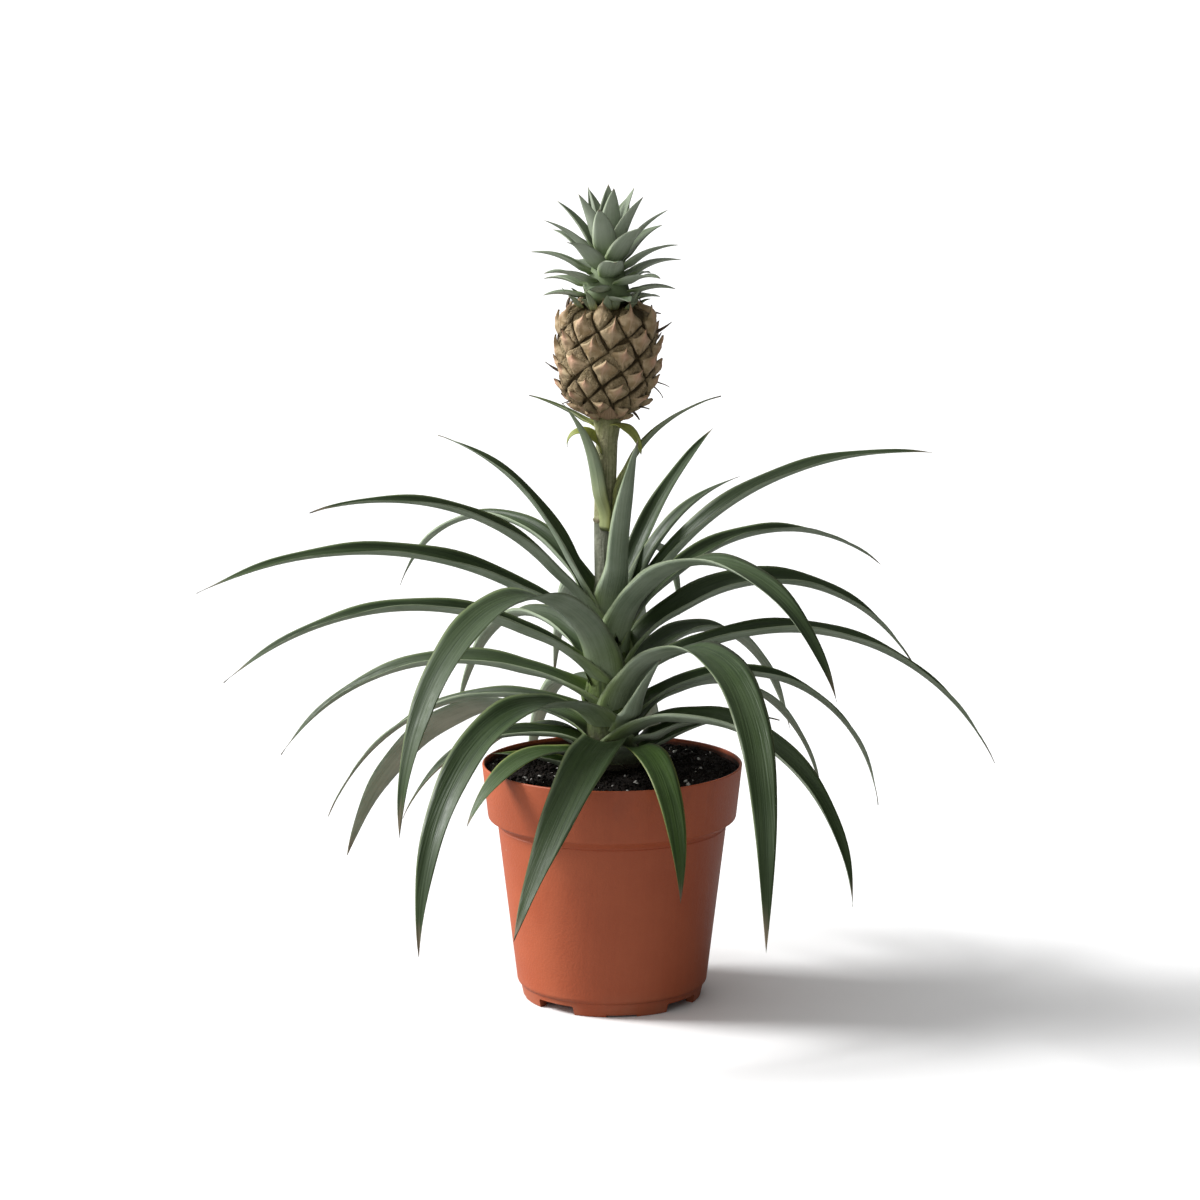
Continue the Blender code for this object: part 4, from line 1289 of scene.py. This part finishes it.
def add_bract(bm, layers, tip, seed):
    """The keeled scale under an eye: from the cell's lower corner to a free tip."""
    tip_x, tip_y, lift, curl = tip
    foot = (SPIRAL_RIGHT + SPIRAL_LEFT) * -0.47
    point = Vector((tip_x * MM, tip_y * MM, 0.0))
    middle = -foot.y / (point.y - foot.y)
    widest = 0.43 * (SPIRAL_RIGHT.x - SPIRAL_LEFT.x)
    lean = (SPIRAL_RIGHT.y - SPIRAL_LEFT.y) / (SPIRAL_RIGHT.x - SPIRAL_LEFT.x)
    for face in (1, -1):
        grid = bmesh.ops.create_grid(bm, x_segments=10, y_segments=16, size=0.5)["verts"]
        for vert in grid:
            across, along = 2 * vert.co.x, vert.co.y + 0.5
            upper = max(0.0, (along - middle) / (1 - middle))
            lower = min(1.0, along / middle)
            half = widest * lower**0.85 * (1 - upper) ** 2.3
            wrinkle = 0.7 * MM * noise.noise(Vector((2 * across, 4 * along, seed)))
            margin = (-1.7 + 1.1 * lower + 0.9 * upper) * MM
            keel = (-1.2 + 3.4 * lower - 1.2 * upper) * MM
            rise = lift * MM * upper**1.4
            height = margin + (keel - margin) * (1 - abs(across)) ** 0.8 + rise + wrinkle
            thick = 0.28 * MM * max(0.0, 1 - across**2) * min(1.0, 12 * along) * (1 - upper) ** 0.3
            flat = foot.lerp(point, along)
            flat.x += across * half + curl * MM * upper**2
            flat.y += lean * across * half * (1 - upper)
            vert[layers["along"]] = along
            vert[layers["across"]] = across
            vert[layers["bract"]] = 1.0
            vert[layers["crest"]] = 1.0
            vert[layers["beyond"]] = max(0.0, flat.y - 1.5 * MM)
            vert.co = (flat.x, flat.y, height + face * thick)


def fruitlet(name, tip, seed, collection):
    bm = bmesh.new()
    layers = {label: bm.verts.layers.float.new(label) for label in LAYERS}
    add_eye(bm, layers, seed)
    add_bract(bm, layers, tip, seed)
    bmesh.ops.remove_doubles(bm, verts=bm.verts, dist=2e-6)
    bmesh.ops.recalc_face_normals(bm, faces=bm.faces)
    hide_in(collection, new_piece(name, bm))


# Where each bract's tip ends: across and up from the eye's middle, how far it stands out, its curl.
BRACT_TIPS = (
    (0.2, 1.5, 1.2, -1.2), (0.9, 2.3, 1.8, 1.0), (0.4, 3.2, 2.0, 0.9), (0.6, 4.6, 2.2, -0.8),
    (0.8, 7.6, 1.6, 0.6), (0.5, 9.4, 1.2, 0.9))
print("fruitlet shapes:", len(BRACT_TIPS))

# %% The tree that lays out the fruitlets and wraps them round
WARP = 4.6 * MM                 # how far the sheet is pushed about, from side to side
WRINKLE = 0.9 * MM
ENDS = 0.03                     # share of the height past which the sheet folds over


def fruit_skin_tree():
    tree, given = new_geometry_tree("fruit_skin", {
        "Fruitlets": "collection", "Shapes": "int", "Count": "int", "Turn": "float",
        "Start": "float", "Foot": "float", "Height": "float", "Radius": "float", "Axis": "float",
        "Seed": "int", "Rind": "material", "Bract": "material"})
    count, tall, radius = given["Count"], given["Height"], given["Radius"]
    points = add_node(tree, "GeometryNodePoints", {"Count": count}).outputs[0]
    index = Flow(tree, tree.nodes.new("GeometryNodeInputIndex").outputs[0])
    share = (index + 0.5) / count
    turn = (index * given["Turn"] + given["Start"]) * DEGREE
    points = add_node(tree, "GeometryNodeSetPosition", {
        "Geometry": points, "Position": join(tree, turn * radius, share * tall, 0.0)}).outputs[0]
    chance = add_node(tree, "FunctionNodeRandomValue", data_type="FLOAT")
    feed(tree, given["Seed"], chance.inputs[8])
    points = store(tree, points, "eye", chance.outputs[1])
    luck = Flow(tree, recall(tree, "eye"))
    pick = (share * (given["Shapes"] - 1.2) + luck * 1.2).maths("FLOOR")
    info = add_node(tree, "GeometryNodeCollectionInfo", {
        "Collection": given["Fruitlets"], "Separate Children": True,
        "Reset Children": True}).outputs[0]
    laid = add_node(tree, "GeometryNodeInstanceOnPoints", {
        "Points": points, "Instance": info, "Pick Instance": True,
        "Instance Index": pick}).outputs[0]
    sheet = add_node(tree, "GeometryNodeRealizeInstances", {0: laid}).outputs[0]

    # No two fruitlets are alike: a slow warp pushes the sheet about before it is wrapped.
    flat = tree.nodes.new("GeometryNodeInputPosition").outputs[0]
    warp = add_node(tree, "ShaderNodeTexNoise", {"Vector": flat, "Scale": 85.0, "Detail": 1.0})
    push_x, push_y, push_z = split(tree, warp.outputs[1])
    x, y, z = split(tree, flat)
    x = x + (push_x - 0.5) * WARP
    y = y + (push_y - 0.5) * WARP
    z = z + (push_z - 0.5) * (0.5 * WARP)
    beyond = Flow(tree, recall(tree, "beyond"))
    climb = y - beyond
    hug = climb.at_least(ENDS * tall).at_most((1 - ENDS) * tall)
    rest = climb - hug + beyond
    level = hug * 2.0 / tall - 1.0
    power = BARREL_FOOT + (BARREL_TOP - BARREL_FOOT) * level.above(0.0)
    barrel = radius * (1.0 - BARREL_CLOSE * level.size() ** power).at_least(0.01).root()
    tilt = level * level * level * (65 * DEGREE)
    wrinkles = add_node(tree, "ShaderNodeTexNoise", {
        "Vector": join(tree, x, y, z), "Scale": 420.0, "Detail": 2.0}).outputs[0]
    out = z + (Flow(tree, wrinkles) - 0.5) * WRINKLE
    away = barrel + out * tilt.cos() - rest * tilt.sin()
    heading = x / radius
    wrapped = join(tree, away * heading.cos() + given["Axis"], away * heading.sin(),
                   hug + out * tilt.sin() + rest * tilt.cos() + given["Foot"])
    skin = add_node(tree, "GeometryNodeSetPosition", {
        "Geometry": sheet, "Position": wrapped}).outputs[0]
    is_bract = Flow(tree, recall(tree, "bract")).above(0.5)
    finish_tree(tree, skin, given["Rind"], given["Bract"], is_bract)
    return tree


# %% Fruit
def onto_fruit_axis(point):
    return point + Vector((FRUIT_AXIS, 0.0, 0.0))


def on_fruit(heading, radius, height):
    """A place this far from the fruit's axis, where a blade may start."""
    turn = math.radians(heading)
    return (FRUIT_AXIS + radius * math.cos(turn), radius * math.sin(turn), height)


def barrel_radius(share):
    power = BARREL_FOOT if share < 0.5 else BARREL_TOP
    return FRUIT_RADIUS * (1 - BARREL_CLOSE * abs(2 * share - 1) ** power) ** 0.5


def build_fruit_heart():
    """The flesh under the fruitlets, seen only deep in the crevices."""
    steps = 24
    profile = [(0.0, FRUIT_FOOT + 0.2 * MM)]
    for step in range(steps + 1):
        share = step / steps
        radius = max(2 * MM, barrel_radius(share) - CREVICE - 0.2 * MM)
        profile.append((radius, FRUIT_FOOT + 0.3 * MM + share * (FRUIT_HEIGHT - 0.6 * MM)))
    profile.append((0.0, FRUIT_FOOT + FRUIT_HEIGHT - 0.2 * MM))
    return new_piece("fruit_heart", turned(profile, 48, onto_fruit_axis), FRUIT_RIND)


def build_fruit():
    shapes = bpy.data.collections.new("fruitlet_shapes")
    for index, tip in enumerate(BRACT_TIPS):
        fruitlet(f"fruitlet_{index}", tip, 2.3 * index, shapes)
    skin = grow(fruit_skin_tree(), "fruit_skin", {
        "Fruitlets": shapes, "Shapes": len(BRACT_TIPS), "Count": FRUITLET_COUNT,
        "Turn": FRUITLET_TURN, "Start": FRUITLET_START, "Foot": FRUIT_FOOT,
        "Height": FRUIT_HEIGHT, "Radius": FRUIT_RADIUS, "Axis": FRUIT_AXIS, "Seed": 3,
        "Rind": FRUIT_RIND, "Bract": FRUIT_BRACT})
    drop_shapes(shapes)
    place(build_fruit_heart(), "fruit_rind", "fruit")
    place(skin, "fruit_rind")


build_fruit()

# %% [markdown]
# Dried flower remains and stray bract tips stick out from between the eyes. They are thin curled
# strips, so the strap leaf tree grows them too.

# %% Dried strips on the fruit
DRY_STRIP = leaf_finish(
    "dry_strip", (0.055, 0.036, 0.022), (0.13, 0.088, 0.058), (0.20, 0.145, 0.105),
    (0.24, 0.17, 0.10), (0.16, 0.11, 0.07), 0.5 * MM, 0.2 * MM, 0.65, 0.35)
PAPER_THICKNESS = 0.8 * MM
# Heading, share of the fruit's height, slope at the foot and tip, length and width in mm.
DRY_STRIPS = (
    (4, 0.74, 20, 38, 10, 1.7), (8, 0.66, 28, 62, 6, 1.5), (178, 0.72, 70, 110, 6, 2.4),
    (184, 0.65, 50, 92, 5, 2.0), (186, 0.40, 22, 40, 9, 1.6), (356, 0.32, -8, -34, 9, 1.4),
    (2, 0.29, -35, -66, 9, 1.4), (350, 0.09, -5, -20, 6, 1.2), (340, 0.06, -40, -60, 6, 1.2),
    (10, 0.90, 30, -30, 6, 1.6), (172, 0.93, 75, 120, 8, 2.6), (120, 0.55, 30, 60, 7, 1.6),
    (75, 0.70, 25, 50, 8, 1.6), (40, 0.35, 0, -40, 8, 1.4), (95, 0.25, -10, -40, 7, 1.4),
    (150, 0.20, -10, -50, 6, 1.3), (192, 0.15, -15, -30, 5, 1.2), (60, 0.92, 50, 100, 7, 2.2))


def build_dry_strips():
    strips = []
    for index, (heading, share, rise, fall, length, width) in enumerate(DRY_STRIPS):
        start = on_fruit(heading, barrel_radius(share) - 1.5 * MM, FRUIT_FOOT + share * FRUIT_HEIGHT)
        row = (heading, 0, rise, fall, 1.0, length, 1.7 * width, 0)
        strips.append(strap_leaf(f"strip_{index}", row, DRY_STRIP, DRY_STRIP, start, steps=10,
                                 Sheath=0.0, Thickness=PAPER_THICKNESS, Seed=index * 1.0,
                                 Foot_Curve=3 * MM, Foot_Share=1.0))
    place(merge("dry_strips", strips), "fruit_rind")


build_dry_strips()

# %% Papery bracts under the fruit
PAPERY = leaf_finish(
    "papery_bract", (0.24, 0.155, 0.080), (0.40, 0.27, 0.16), (0.46, 0.30, 0.20),
    (0.20, 0.17, 0.07), (0.52, 0.34, 0.24), 0.6 * MM, 0.3 * MM, 0.6, 0.4)
PAPERY_BRACTS = 13


def build_papery_bracts():
    bracts = []
    for index in range(PAPERY_BRACTS):
        heading = 360 / PAPERY_BRACTS * index + 9 * math.sin(3.1 * index)
        start = on_fruit(heading, 5 * MM, FRUIT_FOOT - 0.2 * MM)
        row = (heading, 0, 8 + 8 * math.sin(2.3 * index), 62, 0.8, 13 + 2 * math.sin(index), 10, 0)
        bracts.append(strap_leaf(f"papery_{index}", row, PAPERY, PAPERY, start, steps=14,
                                 Sheath=0.0, Gutter=0.3, Thickness=PAPER_THICKNESS,
                                 Seed=index * 1.3, Wave=0.6 * MM,
                                 Foot_Curve=8 * MM, Foot_Share=1.0))
    place(merge("papery_bracts", bracts), "fruit_rind")


build_papery_bracts()

# %% [markdown]
# ## Crown
# The crown is a short shoot of thick pointed leaves with a pale waxy bloom. They follow the same
# turning angle as the fruitlets. The lowest are short and bend down, the highest stand up. A
# collar of small green bracts closes the gap between the top fruitlets and the crown.

# %% Crown
CROWN_UPPER = leaf_finish(
    "crown_upper", (0.085, 0.120, 0.062), (0.160, 0.205, 0.120), (0.29, 0.34, 0.25),
    (0.13, 0.20, 0.03), (0.27, 0.31, 0.19), 1.2 * MM, 0.12 * MM, 0.45, 0.4, 0.5)
CROWN_UNDER = leaf_finish(
    "crown_underside", (0.230, 0.285, 0.195), (0.36, 0.42, 0.305), (0.52, 0.57, 0.47),
    (0.15, 0.23, 0.035), (0.34, 0.39, 0.25), 0.9 * MM, 0.12 * MM, 0.50, 0.55, 0.5)
CROWN_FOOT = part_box("crown")[0].z
CROWN_LEAVES = 33
CROWN_START = 30.0              # heading of the lowest leaf
COLLAR_LEAVES = 17
# The core that carries the leaves: radius and height in mm, from the top down.
CROWN_CORE = ((0.0, 31.0), (3.0, 30.0), (9.5, 8.0), (11.0, 3.0), (8.0, 0.0), (0.0, 0.0))


def crown_leaf(index):
    """One leaf of the crown, by how far up the core it stands."""
    share = index / (CROWN_LEAVES - 1)
    azimuth = CROWN_START + index * FRUITLET_TURN
    radius = (10.5 - 8.5 * share) * MM
    start = on_fruit(azimuth, radius, CROWN_FOOT + (1.6 + 27.2 * share) * MM)
    length = 18 + 15 * math.sin(0.85 * math.pi * share)
    width = 12.5 + 5 * share - 6.5 * share**2
    row = (azimuth, 0, 25 + 58 * share, -25 + 100 * share**2, 1.0, length, width, 0)
    return strap_leaf(f"crown_leaf_{index}", row, CROWN_UPPER, CROWN_UNDER, start, steps=20,
                      Sheath=0.0, Thickness=1.5 * MM, Seed=5.0 + index * 0.61, Wave=0.0,
                      Foot_Curve=radius + 2 * MM, Foot_Share=1.0, Gutter=0.34)


def collar_leaf(index):
    """A short green bract between the top fruitlets and the crown."""
    azimuth = 200 + index * 43
    start = on_fruit(azimuth, (12.0 + 1.5 * math.sin(1.9 * index)) * MM, CROWN_FOOT - 2.2 * MM)
    fall = 20 + 30 * math.sin(2.7 * index)
    length = 10.5 + 2.5 * math.sin(index)
    row = (azimuth, 0, 66, fall, 1.0, length, 5.2, 0)
    return strap_leaf(f"collar_leaf_{index}", row, BRACT_UPPER, BRACT_UNDER, start, steps=14,
                      Sheath=0.0, Thickness=BRACT_THICKNESS, Seed=8.0 + index * 0.61, Wave=0.0,
                      Foot_Curve=12 * MM, Foot_Share=1.0, Gutter=0.4)


def build_crown():
    profile = [(radius * MM, CROWN_FOOT + height * MM) for radius, height in CROWN_CORE]
    heart = turned(refine(profile, 3 * MM), 32, onto_fruit_axis)
    leaves = [crown_leaf(index) for index in range(CROWN_LEAVES)]
    leaves += [collar_leaf(index) for index in range(COLLAR_LEAVES)]
    place(merge("crown_leaves", leaves + [new_piece("crown_heart", heart, CROWN_UPPER)]),
          "crown_leaf", "crown")


build_crown()

# %% [markdown]
# ## Floor and light
# The plant stands on a plain pale floor that runs out of sight. A broad soft sun from the left
# gives the pot its lit side and the long soft shadow; a pale sky fills the shaded side.

# %% Floor
FLOOR_REACH = 60.0
FLOOR_SEEN = (0.93, 0.93, 0.93)
FLOOR_BOUNCE = (0.34, 0.34, 0.34)   # darker for the light it throws back on the pot


def build_floor():
    bm = bmesh.new()
    bmesh.ops.create_grid(bm, x_segments=1, y_segments=1, size=FLOOR_REACH)
    material, tree, shader = new_finish("floor_white", Roughness=0.9, Specular_IOR_Level=0.1)
    seen = tree.nodes.new("ShaderNodeLightPath").outputs["Is Camera Ray"]
    feed(tree, tint(tree, seen, FLOOR_BOUNCE, FLOOR_SEEN), shader.inputs["Base Color"])
    floor = new_piece("floor", bm, material)
    print("floor reaches", FLOOR_REACH, "m each way")


build_floor()

# %% Light
SUN_STRENGTH = 4.3
SUN_ELEVATION = 37
SUN_HEADING = 172               # where the light comes from, 180 = left
SUN_SOFTNESS = 20
SKY_LEFT = 0.95
SKY_RIGHT = 0.06
SKY_TOP = 0.15                  # what the sky overhead adds
BACKDROP = 1.1


def build_light():
    sun_data = bpy.data.lights.new("sun", "SUN")
    sun_data.energy = SUN_STRENGTH
    sun_data.angle = math.radians(SUN_SOFTNESS)
    sun = bpy.data.objects.new("sun", sun_data)
    sun.rotation_euler = (0.0, math.radians(90 - SUN_ELEVATION), math.radians(SUN_HEADING))
    scene.collection.objects.link(sun)
    world = bpy.data.worlds.new("studio")
    world.use_nodes = True
    tree = world.node_tree
    background = tree.nodes["Background"]
    background.inputs["Color"].default_value = (1.0, 1.0, 1.0, 1.0)
    seen = Flow(tree, tree.nodes.new("ShaderNodeLightPath").outputs["Is Camera Ray"])
    x, _, z = split(tree, tree.nodes.new("ShaderNodeTexCoord").outputs["Generated"])
    sky = x.between(-0.8, 0.7, SKY_LEFT, SKY_RIGHT) + z.at_least(0.0) * SKY_TOP
    feed(tree, sky + seen * (BACKDROP - sky), background.inputs["Strength"])
    scene.world = world
    scene.view_settings.view_transform = "Standard"


build_light()
print("sun", SUN_STRENGTH, "sky", SKY_LEFT, "to", SKY_RIGHT)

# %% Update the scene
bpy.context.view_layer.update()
